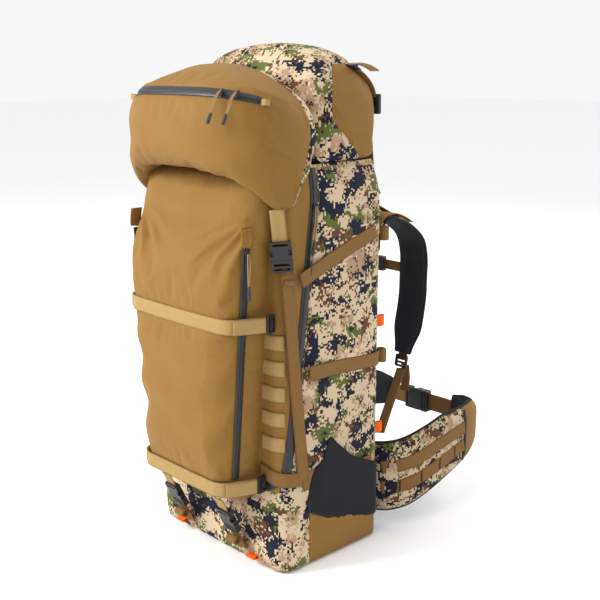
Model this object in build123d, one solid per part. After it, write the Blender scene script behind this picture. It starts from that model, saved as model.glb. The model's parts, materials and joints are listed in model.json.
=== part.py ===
from build123d import *
import os
from math import atan2, cos, degrees, radians, tan

# Large framed hunting pack. Origin: centre of the flat base, under the main bag.
# +Z up, -Y the pack's front (away from the wearer), +Y the wearer's side, +X its right side in front view.

# --- main bag ---
bag_width = 344.0
bag_depth = 246.0
bag_height = 650.0
bag_corner = 26.0
wall = 4.0
base_round = 10.0
base_lip = 14.0
boot_height = 140.0
corner_height = 118.0
corner_front_y = -60.0
collar_height = 50.0
collar_inset = 16.0
cord_dia = 4.0
gap = 0.4

# --- zips ---
zip_tape = 14.0
zip_chain = 5.0
chain_rise = 1.2
main_zip_top_back = 73.0
main_zip_low_back = 5.86
main_zip_low = 205.0
slider_length = 13.0
slider_width = 9.0
slider_rise = 2.6
pull_width = 6.0
pull_length = 58.0
pull_thick = 1.6
slider_spacing = 34.0
pull_layer = 1.8
lid_slider_spacing = 26.0

# --- front pocket ---
pocket_low = 138.0
pocket_lid_gap = 7.0
pocket_depth = 83.0
pocket_top_margin = 20.0
pocket_bottom_margin = 64.0
pocket_round = 24.0

# --- lid ---
lid_top_margin = 14.0
lid_front_overhang = 2.0
lid_gap = 6.0
lid_height = 186.0
lid_rear_margin = 9.0
lid_split_y = -37.0
lid_front_reach = 55.0
skirt_drop = 18.0
skirt_arch = 62.0
skirt_gap = 9.0
hinge_back = 12.0
hinge_drop = 55.0

# --- webbing and moulded hardware ---
webbing_width = 25.4
narrow_webbing = 20.0
belt_webbing_width = 38.0
webbing_thick = 1.6
male_length = 20.0
lid_buckle_drop = 75.0
lid_buckle_stand = 9.5
lower_buckle_x = 75.0
lower_buckle_z = 84.0
front_strap_drop = 173.0
low_strap_rise = 27.0
side_strap_drop = (102.0, 297.0)
side_strap_slope = (18.0, -4.0)
side_strap_stand = 8.4

# --- frame and harness ---
frame_gap = 1.0
sheet_thick = 2.5
stay_thick = 3.0
stay_width = 16.0
stay_x = 62.0
frame_drop = 18.0
pad_gap = 1.0
yoke_half_width = 104.0
yoke_drop = 40.0
yoke_height = 137.0
yoke_thick = 17.0
strap_x = 105.0
strap_width = 64.0
strap_thick = 12.0
strap_reach = 136.0
lower_strap_spread = 37.0
chest_drop = 120.0
lumbar_half_width = 102.0
lumbar_low = 14.0
lumbar_high = 172.0
lumbar_thick = 26.0
belt_thick = 17.0
belt_half_width = 195.0
belt_reach = 318.0
belt_z = 144.0
belt_tip_x = 84.0

half_width = bag_width / 2
front_y = -bag_depth / 2
back_y = bag_depth / 2
rim_z = bag_height + collar_height
lid_base = rim_z + lid_gap
lid_half_width = half_width - lid_top_margin
lid_front_half = half_width + lid_front_overhang
lid_rear_y = back_y - lid_rear_margin
skirt_low = bag_height - skirt_drop
hinge_z = bag_height - hinge_drop
lid_buckle_z = skirt_low - lid_buckle_drop
pocket_high = skirt_low - pocket_lid_gap
pocket_top_half = half_width - pocket_top_margin
pocket_bottom_half = half_width - pocket_bottom_margin
front_strap_z = pocket_high - front_strap_drop
low_strap_z = pocket_low + low_strap_rise
side_strap_z = [bag_height - drop for drop in side_strap_drop]
frame_top = bag_height - frame_drop
yoke_high = frame_top - yoke_drop
yoke_low = yoke_high - yoke_height
chest_z = yoke_high - chest_drop
hinge_y = back_y + hinge_back
sheet_y = back_y + frame_gap
stay_y = sheet_y + sheet_thick + 0.2
pad_y = stay_y + stay_thick + pad_gap
pocket_y = front_y - gap
pocket_front_y = pocket_y - pocket_depth
zip_slope = (main_zip_top_back - main_zip_low_back) / (bag_height - boot_height)
main_zip_lean = degrees(atan2(zip_slope, 1))
pocket_taper = (pocket_top_half - pocket_bottom_half) / (pocket_high - pocket_low)


def block(x, y, z):
    """Box between two limits on each axis."""
    size = Box(x[1] - x[0], y[1] - y[0], z[1] - z[0])
    return Pos((x[0] + x[1]) / 2, (y[0] + y[1]) / 2, (z[0] + z[1]) / 2) * size


def flip(shape):
    """The same piece on the other side of the bag."""
    return mirror(shape, about=Plane.YZ)


def both(shape):
    return [shape, flip(shape)]


def side_prism(points, x0, x1):
    """Outline of (y, z) points carried from x0 to x1."""
    face = Plane.YZ.offset(x0) * make_face(Polyline(*points, close=True))
    return extrude(face, x1 - x0)


def front_prism(points, y0, y1):
    """Outline of (x, z) points carried back from y0 to y1."""
    face = Plane.XZ.offset(-y1) * make_face(Polyline(*points, close=True))
    return extrude(face, y1 - y0)


def strip(start, end, width, thick, across):
    """Flat straight strip whose width lies along the across direction."""
    run = Vector(*end) - Vector(*start)
    plane = Plane(origin=start, x_dir=across, z_dir=run)
    return extrude(plane * Rectangle(width, thick), run.length)


def level_band(points, radius, thick, low, high):
    """Strip on edge that follows (x, y) points, standing from low to high."""
    path = FilletPolyline(*points, radius=radius)
    return Pos(0, 0, low) * extrude(trace(path, thick), high - low)


def upright_band(points, radius, thick, x0, x1):
    """Strip that follows (y, z) points, its width running from x0 to x1."""
    path = FilletPolyline(*points, radius=radius)
    return extrude(Plane.YZ.offset(x0) * trace(path, thick), x1 - x0)


def bag_section(grow):
    return RectangleRounded(bag_width + 2 * grow, bag_depth + 2 * grow, bag_corner + grow)


def skin(inner, outer):
    """Thin layer round the bag between two distances from its surface."""
    return extrude(bag_section(outer) - bag_section(inner), bag_height)


def zip_y(z):
    """Middle of the main zip at a height."""
    return front_y + main_zip_top_back - (bag_height - z) * zip_slope


def pocket_half(z):
    """Half width of the front pocket at a height."""
    return pocket_bottom_half + (z - pocket_low) * pocket_taper


def bag_wall():
    outer = extrude(bag_section(0), bag_height)
    outer = fillet(outer.faces().sort_by(Axis.Z)[0].edges(), base_round)
    inner = Pos(0, 0, wall) * extrude(bag_section(-wall), bag_height)
    return outer - inner


def zip_band(low, high, side_a, side_b):
    """Leaning prism on both sides of the bag between two distances from the main zip's middle."""
    points = [(zip_y(low) + side_a, low), (zip_y(low) + side_b, low)]
    points += [(zip_y(high) + side_b, high), (zip_y(high) + side_a, high)]
    return side_prism(points, -bag_width, bag_width)


def bag_panels():
    """Sewn panels of the main bag, cut from one wall along its seams."""
    shell = bag_wall()
    far = bag_width
    half_tape = zip_tape / 2
    rear_seam = back_y - bag_corner
    boot = shell & block((-far, far), (-far, far), (0, base_lip))
    boot += shell & block((-far, far), (-far, corner_front_y), (base_lip, boot_height))
    corners = shell & block((-far, far), (corner_front_y, rear_seam), (base_lip, corner_height))
    back = shell & block((-far, far), (rear_seam, far), (base_lip, bag_height))
    front = shell & zip_band(boot_height, bag_height, -far, -half_tape)
    tapes = shell & zip_band(boot_height, bag_height, -half_tape, half_tape)
    rest = shell & block((-far, far), (-far, rear_seam), (corner_height, bag_height))
    rest -= zip_band(boot_height, bag_height, -far, half_tape)
    rest -= block((-far, far), (-far, corner_front_y), (0, boot_height))
    right = rest & block((0, far), (-far, far), (0, far * 2))
    return boot, corners, back, front, tapes, right


def main_chain():
    """Raised teeth of the right main zip."""
    rise = half_width + chain_rise / 2 + 0.05
    top = bag_height - 4
    start = (rise, zip_y(main_zip_low), main_zip_low)
    return strip(start, (rise, zip_y(top), top), zip_chain, chain_rise, (0, 1, 0))


def top_collar():
    """Open throat of the bag above its panels."""
    def taper(grow):
        low = bag_section(grow)
        top_size = (bag_width - 2 * collar_inset, bag_depth - 2 * collar_inset)
        high = RectangleRounded(top_size[0] + 2 * grow, top_size[1] + 2 * grow, bag_corner + grow)
        return loft([Pos(0, 0, bag_height) * low, Pos(0, 0, rim_z) * high])
    return taper(0) - taper(-wall)


def collar_cord():
    """Drawcord lying against the inside of the rim, with its cord lock."""
    inset = collar_inset + wall + cord_dia / 2 + 1.4
    ring = RectangleRounded(bag_width - 2 * inset, bag_depth - 2 * inset, bag_corner)
    path = Pos(0, 0, rim_z - 9) * ring.faces()[0].outer_wire()
    start = Plane(origin=path @ 0, z_dir=path % 0)
    cord = sweep(start * Circle(cord_dia / 2), path)
    lock_y = front_y + inset + cord_dia / 2 + 9.5
    lock = Pos(0, lock_y, rim_z - 9) * fillet(Box(14, 18, 13).edges(), 3)
    return [cord, lock]


def slider(lift=0.0):
    """Zip slider with its pull hanging along -Z, its back on the XZ plane and its face towards -Y."""
    length = slider_length
    body = Pos(0, -slider_rise / 2, 0) * Box(slider_width, slider_rise, length)
    body = fillet(body.edges().filter_by(Axis.Y), 2.5)
    pull_y = -slider_rise - lift - pull_thick / 2
    cord_length = pull_length * 0.6
    grip_length = pull_length - cord_length
    tab = block((-pull_width / 2, pull_width / 2), (pull_y - pull_thick / 2, -slider_rise), (-length, 0))
    cord = Pos(0, pull_y, -length - cord_length / 2) * Box(3.2, pull_thick, cord_length)
    grip = Pos(0, pull_y, -length - cord_length - grip_length / 2) * Box(pull_width, pull_thick, grip_length)
    return body + tab + cord + grip


def main_slider(drop, lift):
    """Slider on the right main zip, a distance below its top stop, its pull lifted clear of the next one."""
    z = bag_height - 14 - drop
    seat = Pos(half_width + chain_rise + 0.4, zip_y(z), z) * Rot(-main_zip_lean, 0, 0) * Rot(0, 0, 90)
    return seat * slider(lift)


def front_pocket():
    face = pocket_front_y
    side = [(pocket_y, pocket_low), (face + 18, pocket_low), (face, pocket_low + 60)]
    side += [(face, pocket_high - 85), (face + 18, pocket_high - 40), (face + 52, pocket_high)]
    side += [(pocket_y, pocket_high)]
    body = side_prism(side, -pocket_top_half, pocket_top_half)
    low, high = pocket_bottom_half, pocket_top_half
    outline = [(-low, pocket_low), (low, pocket_low), (high, pocket_high), (-high, pocket_high)]
    body = body & front_prism(outline, face - 1, pocket_y + 1)
    edges = body.edges().filter_by(lambda e: abs((e % 0).X) < 0.3 and abs((e @ 0.5).X) > low - 1)
    edges = edges.filter_by(lambda e: (e @ 0.5).Y < pocket_y - 60 or (e @ 0.5).Y < face + 40)
    return fillet(edges, pocket_round)


def pocket_zip_point(z, out):
    """Place on the right pocket zip at a height, out from the pocket's side."""
    return (pocket_half(z) + out, pocket_front_y + pocket_round + 5, z)


def pocket_zip():
    """Tape and teeth on the right side of the front pocket."""
    low = pocket_low + 42
    high = pocket_high - 46
    tape_out = 0.7
    tape = strip(pocket_zip_point(low, tape_out), pocket_zip_point(high, tape_out), zip_tape, 1.0, (0, 1, 0))
    out = tape_out + 0.5 + chain_rise / 2
    chain = strip(pocket_zip_point(low, out), pocket_zip_point(high, out), zip_chain, chain_rise, (0, 1, 0))
    return tape + chain


def pocket_slider():
    z = pocket_high - 56
    lean = degrees(atan2(pocket_taper, 1))
    spot = pocket_zip_point(z, 1.2 + chain_rise + 0.4)
    return Pos(*spot) * Rot(0, lean, 0) * Rot(0, 0, 90) * slider()


def stretch_pocket():
    """Stretch mesh pocket low on the right side."""
    rear = back_y - 12
    points = [(-19, 233), (38, 180), (rear, 146), (rear, 46), (13, 61), (-69, 106), (-62, 163), (-29, 200)]
    return skin(4.2, 6.0) & side_prism(points, 0, bag_width)


def molle_rows():
    """Short webbing loops in a ladder beside the front pocket."""
    layer = skin(0.3, 1.6)
    rows = []
    for row in range(5):
        low = 226 + row * webbing_width * 1.75
        row_z = (low, low + webbing_width)
        rows.append(layer & block((half_width - 30, half_width - 5), (-bag_width, 0), row_z))
    return rows


def lid_strap():
    """Long strap down the right front corner from the lid buckle to its anchor."""
    out = half_width + 3.6
    top = (out, front_y + 8.0, lid_buckle_z - 24)
    low = (out, front_y + 44.0, boot_height + 38)
    anchor = Pos(out, front_y + 45.3, boot_height + 26.6) * Rot(-5.5, 0, 0) * Box(3.4, 16, 22)
    return [strip(low, top, webbing_width, webbing_thick, (0, 1, 0)), anchor]


def side_strap(z, slope):
    """Compression strap across the right side, standing clear of the zip slider."""
    out = half_width + webbing_thick / 2 + 0.6
    start_y = front_y + 30 + (side_strap_z[0] - z) * 0.12
    points = [(out + side_strap_stand, start_y), (out, 42), (out, back_y - bag_corner - 4)]
    half = webbing_width / 2
    band = level_band(points, 60, webbing_thick, -half, half)
    return Pos(0, 0, z) * Rot(slope, 0, 0) * band


def low_side_strap():
    """Lowest strap, running back from under the front corner to behind the stretch pocket."""
    rear_y = back_y - bag_corner - 4
    points = [(front_y - 9, 196), (front_y - 9, 171), (-16, 142), (rear_y, 142), (rear_y, 167), (-16, 167)]
    return skin(0.3, 1.5) & side_prism(points, pocket_half(200) + 5, bag_width)


def strap_roll(y, z):
    """Spare strap end rolled up at the right rear edge."""
    roll = Cylinder(9, webbing_width) - Cylinder(2.6, webbing_width)
    return Pos(half_width - 14, y, z) * Rot(0, 0, 20) * roll


def front_strap(z):
    """Strap round the front pocket, hooked to the bag at both sides."""
    half = pocket_half(z) + 3
    face = pocket_front_y - webbing_thick / 2 - 0.5
    hook_x = pocket_half(z) + 22
    points = [(hook_x, pocket_y - 22), (half + 1, face), (-half - 1, face), (-hook_x, pocket_y - 22)]
    return level_band(points, pocket_round + 2, webbing_thick, z - webbing_width / 2, z + webbing_width / 2)


def strap_hook(z):
    """Gated hook at the right end of a front strap."""
    plate = Box(4, 20, webbing_width + 4.6)
    plate -= Pos(0, -5, 0) * Box(5, 4, webbing_width)
    plate -= Pos(0, 4.5, 0) * Box(5, 6, webbing_width - 5.4)
    plate = fillet(plate.edges().filter_by(Axis.X).group_by(SortBy.LENGTH)[-1], 1.5)
    return Pos(pocket_half(z) + 23.5, pocket_y - 13.5, z) * Rot(0, 0, 12) * plate


def female_length(width):
    return width * 0.75 + 12


def buckle(width):
    """Side-release buckle: female, male and two prongs. It parts along Z, mouth at z = 0, face to -Y."""
    half = width / 2 + 4.5
    thick = 3.0 + width * 0.3
    side = 2.2
    skin_thick = 1.8
    reach = width * 0.75
    length = female_length(width)
    window = (reach * 0.42, reach * 0.92)
    female = block((-half, half), (-thick / 2, thick / 2), (0, length))
    female = fillet(female.edges().filter_by(Axis.Y), 3.0)
    inner_y = thick / 2 - skin_thick
    cavity = half - side
    female -= block((-cavity, cavity), (-inner_y, inner_y), (-1, reach + 1))
    female -= block((-width / 2, width / 2), (-thick, thick), (length - 7.5, length - 3.5))
    for end in ((-half - 1, -cavity + 3), (cavity - 3, half + 1)):
        female -= block(end, (-inner_y - 3, inner_y), window)
    base = block((-half, half), (-thick / 2, thick / 2), (-male_length, -0.4))
    base = fillet(base.edges().filter_by(Axis.Y), 2.4)
    for low in (-16.5, -9.0):
        base -= block((-width / 2, width / 2), (-thick, thick), (low, low + 4.0))
    tongue_half = inner_y - 0.9
    base += block((-2.4, 2.4), (-tongue_half, tongue_half), (-0.5, reach * 0.8))
    arm_x = cavity - 5.0
    arm = block((arm_x - 1.6, arm_x + 1.6), (-tongue_half, tongue_half), (0.1, window[1] - 0.8))
    head = [(arm_x, window[0] - 1), (cavity - 0.5, window[0] + 1), (cavity - 0.5, window[1] - 5)]
    head += [(arm_x + 1, window[1] - 0.8), (arm_x, window[1] - 0.8)]
    arm += front_prism(head, -tongue_half, tongue_half)
    return female, base, arm, flip(arm)


lid_buckle_y = front_y + bag_corner - (bag_corner + lid_buckle_stand) * cos(radians(45))
lid_buckle_x = half_width - bag_corner + (bag_corner + lid_buckle_stand) * cos(radians(45))
lid_buckle_tilt = degrees(atan2(hinge_z - lid_buckle_z - 8, hinge_y - lid_buckle_y))
lid_buckle_seat = Pos(lid_buckle_x, lid_buckle_y, lid_buckle_z) * Rot(lid_buckle_tilt, 0, 0) * Rot(0, 0, 45)


def lid_tab():
    """Short webbing tab that holds the right female buckle under the lid's corner."""
    low = female_length(webbing_width) + 0.2
    half = webbing_width / 2 - 0.6
    thick = (-webbing_thick / 2, webbing_thick / 2)
    return lid_buckle_seat * block((-half, half), thick, (low, lid_buckle_drop + 2))


def lid_top_pocket():
    top = lid_base + lid_height
    points = [(lid_split_y, lid_base + 4), (lid_split_y, top - 26), (8, top - 2), (62, top)]
    points += [(lid_rear_y - 6, top - 42), (lid_rear_y, top - 100), (lid_rear_y - 4, lid_base)]
    body = side_prism(points, -lid_half_width, lid_half_width)
    ends = body.faces().filter_by(Axis.X)
    return fillet(ends.edges(), 22)


def lid_front_pocket():
    """Front pocket of the lid, draped over the bag's front edge and arched along its lower rim."""
    back = lid_split_y - 0.5
    inner = front_y - skirt_gap
    face = front_y - lid_front_reach
    top = lid_base + lid_height - 24
    points = [(back, lid_base + 10), (back, top - 4), (back - 46, top), (front_y - 12, top - 22)]
    points += [(face + 10, top - 66), (face, top - 128), (face + 6, skirt_low + 58), (inner - 20, skirt_low)]
    points += [(inner, skirt_low), (inner, skirt_low + 62), (inner + 22, lid_base + 10)]
    body = side_prism(points, -lid_front_half, lid_front_half)
    body = fillet(body.faces().filter_by(Axis.X).edges().filter_by(lambda e: (e @ 0.5).Z > lid_base + 20), 20)
    reach = lid_front_half - 24
    arch = ThreePointArc((-reach, skirt_low - 2), (0, skirt_low + skirt_arch), (reach, skirt_low - 2))
    cut = make_face(arch + Line(arch @ 1, arch @ 0))
    return body - extrude(Plane.XZ * cut, bag_depth)


lid_zip_z = lid_base + lid_height - 24 - 52


def lid_zip_face(out):
    """Plane on the sloping face of the lid's front pocket, its X along the zip and its Z out of the face."""
    y = front_y - 12 - (lid_front_reach - 22) * 30 / 44
    plane = Plane(origin=(0, y, lid_zip_z), x_dir=(1, 0, 0), z_dir=(0, -44, lid_front_reach - 22))
    return plane.offset(out)


def lid_zip():
    reach = lid_front_half - 34
    tape = extrude(lid_zip_face(0.3) * Rectangle(2 * reach, zip_tape), 1.0)
    chain = extrude(lid_zip_face(1.3) * Rectangle(2 * reach, zip_chain), chain_rise)
    return tape + chain


def lid_slider(x):
    """Slider on the lid zip, its pull turned down across the zip."""
    face = lid_zip_face(1.7 + chain_rise)
    body = extrude(face * Pos(x, 0) * Rectangle(slider_length, slider_width), slider_rise)
    grip_face = face.offset(slider_rise)
    pull = extrude(grip_face * Pos(x, -12) * Rectangle(4, 30), pull_thick)
    return body + pull


def rear_lid_strap():
    """Strap from the lid's rear edge down to its ladder lock on the frame, right side."""
    x = 130.0
    low = (x, hinge_y + 2, hinge_z + 8)
    high = (x, lid_rear_y + 2.6, lid_base + 58)
    return strip(low, high, narrow_webbing, webbing_thick, (1, 0, 0))


def ladder_lock(width=narrow_webbing):
    """Flat tension lock with three bars, its face to -Y."""
    plate = Box(width + 8, 5, 24)
    plate = fillet(plate.edges().filter_by(Axis.Y), 3)
    for z in (-6.5, 0.5, 7.0):
        plate -= Pos(0, 0, z) * Box(width + 1, 6, 3.4)
    return plate


def frame_sheet():
    outline = fillet(Rectangle(bag_width - 52, frame_top - 34).vertices(), 30)
    plane = Plane.XZ.offset(-(sheet_y + sheet_thick))
    return extrude(plane * Pos(0, (frame_top + 22) / 2) * outline, sheet_thick)


def frame_stay():
    low, high = 26, frame_top
    across = (stay_x - stay_width / 2, stay_x + stay_width / 2)
    return block(across, (stay_y, stay_y + stay_thick), (low, high))


def yoke():
    pad = block((-yoke_half_width, yoke_half_width), (pad_y, pad_y + yoke_thick), (yoke_low, yoke_high))
    pad = fillet(pad.edges().filter_by(Axis.Y), 26)
    return fillet(pad.faces().sort_by(Axis.Y)[-1].edges(), 6)


def shoulder_path():
    """Middle of a shoulder strap seen from the side, from the yoke over the shoulder and down."""
    root = pad_y + yoke_thick + strap_thick / 2 + 0.4
    reach = pad_y + strap_reach + 16
    points = [(root, yoke_high - 62), (root + 3, yoke_high - 14), (root + 42, yoke_high - 6)]
    points += [(reach - 30, yoke_high - 36), (reach, chest_z + 46), (reach, chest_z - 46)]
    points += [(reach - 26, chest_z - 160)]
    return points


def shoulder_strap():
    inner = strap_x - strap_width / 2
    band = upright_band(shoulder_path(), 18, strap_thick, inner, inner + strap_width)
    return fillet(band.edges().filter_by(Axis.X).group_by(Axis.Z)[0], 2)


def chest_face():
    """Outer face of the shoulder straps at the chest."""
    return pad_y + strap_reach + 16 + strap_thick / 2


def harness_webbing():
    """Load lifters, lower adjusting straps and the rails of the chest strap."""
    path = shoulder_path()
    lifter_low = (strap_x - 6, path[3][0] - 4, path[3][1] + strap_thick + 6)
    lifter_high = (strap_x - 20, stay_y + 16, frame_top - 2)
    lifter = strip(lifter_low, lifter_high, narrow_webbing, webbing_thick, (1, 0, 0))
    low_end = path[-1]
    lower_top = (strap_x + 3, low_end[0] - 6, low_end[1] - 29)
    lower_foot = (strap_x + lower_strap_spread, pad_y + 22, lumbar_high + 12)
    lower = strip(lower_top, lower_foot, narrow_webbing, webbing_thick, (1, 0, 0))
    rail_y = chest_face() + 0.9
    rail = strip((strap_x, rail_y, chest_z - 42), (strap_x, rail_y, chest_z + 42), 9, 1.0, (1, 0, 0))
    return both(lifter) + both(lower) + both(rail)


def ladder_locks():
    path = shoulder_path()
    locks = []
    locks += both(Pos(130, hinge_y + 2, hinge_z - 7) * ladder_lock())
    locks += both(Pos(strap_x - 22, stay_y + 15, frame_top + 17) * Rot(35, 0, 0) * ladder_lock())
    low_end = path[-1]
    low_place = Pos(strap_x + 1, low_end[0] - 3, low_end[1] - 8) * Rot(-9, 0, 0) * Pos(0, 0, -7)
    locks += both(low_place * ladder_lock())
    return locks


chest_strap_y = chest_face() + 6.6


def chest_slider():
    """Clip that runs on the right rail and holds the chest strap."""
    clip = Pos(strap_x, chest_strap_y - 1.2, chest_z) * Box(24, 9.4, 22)
    clip -= Pos(strap_x, chest_face() + 0.9, chest_z) * Box(9.8, 1.8, 30)
    return clip


def chest_webbing():
    reach = female_length(narrow_webbing) + 0.2
    y = (chest_strap_y - 0.8, chest_strap_y + 0.8)
    z = (chest_z - narrow_webbing / 2 + 0.6, chest_z + narrow_webbing / 2 - 0.6)
    female_side = block((-strap_x + 12.4, -reach), y, z)
    male_side = block((male_length + 0.2, strap_x - 12.4), y, z)
    return [female_side, male_side]


def lumbar_pad():
    across = (-lumbar_half_width, lumbar_half_width)
    pad = block(across, (pad_y, pad_y + lumbar_thick), (lumbar_low, lumbar_high))
    pad = fillet(pad.edges().filter_by(Axis.Y), 22)
    return fillet(pad.faces().sort_by(Axis.Y)[-1].edges(), 8)


belt_y = pad_y + belt_reach


def hip_wing():
    """Right hip belt wing, curving from the lumbar pad round to the front of the waist."""
    root = lumbar_half_width + 4.0
    wide = belt_half_width - belt_thick / 2
    points = [(root, pad_y + 16), (wide - 22, pad_y + 44), (wide, pad_y + 128), (wide - 4, pad_y + 244)]
    points += [(wide - 44, pad_y + 300), (belt_tip_x, belt_y)]
    band = level_band(points, 38, belt_thick, 0, 260)
    top = [(pad_y - 20, 148), (pad_y + 60, 170), (pad_y + 150, 198), (pad_y + 250, 202)]
    top += [(belt_y + 20, belt_z + 30)]
    low = [(belt_y + 20, belt_z - 28), (pad_y + 250, 94), (pad_y + 160, 66), (pad_y + 80, 36)]
    low += [(pad_y - 20, 14)]
    return band & side_prism(top + low, 0, bag_width)


def belt_straps():
    width = belt_webbing_width
    y = (belt_y - 0.9, belt_y + 0.9)
    z = (belt_z - width / 2 + 0.6, belt_z + width / 2 - 0.6)
    female_side = block((-belt_tip_x + 0.6, -female_length(width) - 0.2), y, z)
    male_side = block((male_length + 0.2, belt_tip_x - 0.6), y, z)
    return [female_side, male_side]


across_buckle = Rot(0, -90, 0) * Rot(0, 0, 180)
chest_buckle_seat = Pos(0, chest_strap_y, chest_z) * across_buckle
belt_buckle_seat = Pos(0, belt_y, belt_z) * across_buckle

low_run_top = (lower_buckle_x, pocket_y - 62, pocket_low - 3)
low_run_end = (lower_buckle_x, front_y - 3, 16)
low_run_tilt = degrees(atan2(low_run_end[1] - low_run_top[1], low_run_top[2] - low_run_end[2]))
lower_buckle_y = low_run_end[1] - (lower_buckle_z - low_run_end[2]) * tan(radians(low_run_tilt))
lower_buckle_seat = Pos(lower_buckle_x, lower_buckle_y, lower_buckle_z) * Rot(low_run_tilt, 0, 0)


def lower_straps():
    """Straps that hold the pocket's lower edge to the base through the lower buckles."""
    half = webbing_width / 2 - 0.6
    thick = (-webbing_thick / 2, webbing_thick / 2)
    low = female_length(webbing_width) + 0.2
    upper = lower_buckle_seat * block((-half, half), thick, (low, low + 22))
    lower = lower_buckle_seat * block((-half, half), thick, (-64, -male_length - 0.2))
    roll = Cylinder(7.5, 2 * half) - Cylinder(2, 2 * half)
    roll = lower_buckle_seat * Pos(0, -9.5, -36) * Rot(0, 90, 0) * roll
    return both(upper) + both(lower) + both(roll)


def pull_tabs():
    """Small folded tabs at the low front corners and on the rear edges."""
    front = block((lower_buckle_x + 16, lower_buckle_x + 38), (front_y - 17, front_y - 1), (16, 20))
    across = (half_width - 19, half_width - 14)
    rear = [block(across, (back_y + 1, back_y + 20), (z - 10, z + 12)) for z in (408, 204)]
    return both(front) + both(rear[0]) + both(rear[1])


def save(name, *pieces):
    solids = []
    for piece in pieces:
        solids += piece if isinstance(piece, list) else [piece]
    shape = solids[0] if len(solids) == 1 else Compound(solids)
    export_step(shape, "parts/" + name + ".step")


def save_buckle(name, seat, width, mirrored):
    """Write one buckle's halves and prongs, or the pair on both sides of the bag."""
    female, male, near, far = [seat * piece for piece in buckle(width)]
    if mirrored:
        save(name + "_female", both(female))
        save(name + "_male", both(male))
        save(name + "_prong_right_a", near)
        save(name + "_prong_right_b", far)
        save(name + "_prong_left_a", flip(near))
        save(name + "_prong_left_b", flip(far))
        return
    save(name + "_female", female)
    save(name + "_male", male)
    save(name + "_prong_a", near)
    save(name + "_prong_b", far)


def main():
    os.makedirs("parts", exist_ok=True)
    boot, corners, back, front, tapes, right = bag_panels()
    save("bag_base", boot)
    save("base_corners", corners)
    save("back_panel", back)
    save("front_panel", front)
    save("side_panel_right", right)
    save("side_panel_left", flip(right))
    save("main_zips", tapes, both(main_chain()))
    save("top_collar", top_collar())
    save("collar_cord", collar_cord())
    save("front_pocket", front_pocket())
    save("pocket_zips", both(pocket_zip()))
    save("stretch_pockets", both(stretch_pocket()))
    save("molle_webbing", [piece for row in molle_rows() for piece in both(row)])
    save("lid_straps", [piece for part in lid_strap() for piece in both(part)])
    straps = [side_strap(z, slope) for z, slope in zip(side_strap_z, side_strap_slope)]
    straps.append(low_side_strap())
    straps.append(strap_roll(back_y + 11.5, side_strap_z[0] + 22))
    straps.append(strap_roll(back_y + 11.5, side_strap_z[1] - 8))
    save("side_straps", [piece for strap in straps for piece in both(strap)])
    save("front_straps", front_strap(front_strap_z), front_strap(low_strap_z))
    save("strap_hooks", both(strap_hook(front_strap_z)), both(strap_hook(low_strap_z)))
    save("pull_tabs", pull_tabs())
    save("lower_straps", lower_straps())
    female, male, near, far = [lower_buckle_seat * piece for piece in buckle(webbing_width)]
    save("lower_buckle_female", both(female))
    save("lower_buckle_male", [piece for part in (male, near, far) for piece in both(part)])
    save("frame_sheet", frame_sheet())
    save("frame_stays", both(frame_stay()))
    save("yoke", yoke())
    save("lumbar_pad", lumbar_pad())
    save("shoulder_strap_right", shoulder_strap())
    save("shoulder_strap_left", flip(shoulder_strap()))
    save("harness_webbing", harness_webbing())
    save("ladder_locks", ladder_locks())
    save("hip_wing_right", hip_wing())
    save("hip_wing_left", flip(hip_wing()))
    save("belt_webbing", belt_straps())
    save_buckle("belt_buckle", belt_buckle_seat, belt_webbing_width, False)
    save("chest_sliders", both(chest_slider()))
    save("chest_webbing", chest_webbing())
    save_buckle("chest_buckle", chest_buckle_seat, narrow_webbing, False)
    save("lid_top_pocket", lid_top_pocket())
    save("lid_front_pocket", lid_front_pocket())
    save("lid_zip", lid_zip())
    save("lid_webbing", both(lid_tab()), both(rear_lid_strap()))
    save_buckle("lid_buckle", lid_buckle_seat, webbing_width, True)
    save("lid_slider_a", lid_slider(lid_front_half - 46))
    save("lid_slider_b", lid_slider(lid_front_half - 46 - lid_slider_spacing))
    save("pocket_slider_right", pocket_slider())
    save("pocket_slider_left", flip(pocket_slider()))
    for side, place in (("right", lambda piece: piece), ("left", flip)):
        save("main_slider_" + side + "_upper", place(main_slider(0, pull_layer)))
        save("main_slider_" + side + "_lower", place(main_slider(slider_spacing, 0)))


main()
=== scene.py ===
import json
import math

import bmesh
import bpy
from mathutils import Matrix, Vector, noise


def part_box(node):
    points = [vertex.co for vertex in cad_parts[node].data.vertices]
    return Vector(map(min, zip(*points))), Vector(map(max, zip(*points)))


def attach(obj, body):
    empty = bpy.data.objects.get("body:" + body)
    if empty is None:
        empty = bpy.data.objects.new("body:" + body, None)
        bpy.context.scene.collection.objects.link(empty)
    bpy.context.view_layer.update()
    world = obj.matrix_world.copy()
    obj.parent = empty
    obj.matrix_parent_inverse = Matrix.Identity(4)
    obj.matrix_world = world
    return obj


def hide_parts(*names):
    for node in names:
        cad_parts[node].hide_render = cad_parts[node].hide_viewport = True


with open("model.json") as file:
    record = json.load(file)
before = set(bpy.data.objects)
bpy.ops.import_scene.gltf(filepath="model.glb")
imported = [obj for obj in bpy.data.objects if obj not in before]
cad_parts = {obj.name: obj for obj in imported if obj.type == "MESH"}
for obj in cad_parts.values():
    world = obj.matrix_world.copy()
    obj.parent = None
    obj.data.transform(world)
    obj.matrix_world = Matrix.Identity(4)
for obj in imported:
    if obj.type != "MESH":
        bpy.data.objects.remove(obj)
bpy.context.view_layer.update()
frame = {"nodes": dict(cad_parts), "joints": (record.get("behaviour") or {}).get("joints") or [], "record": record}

scene = bpy.context.scene


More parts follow.
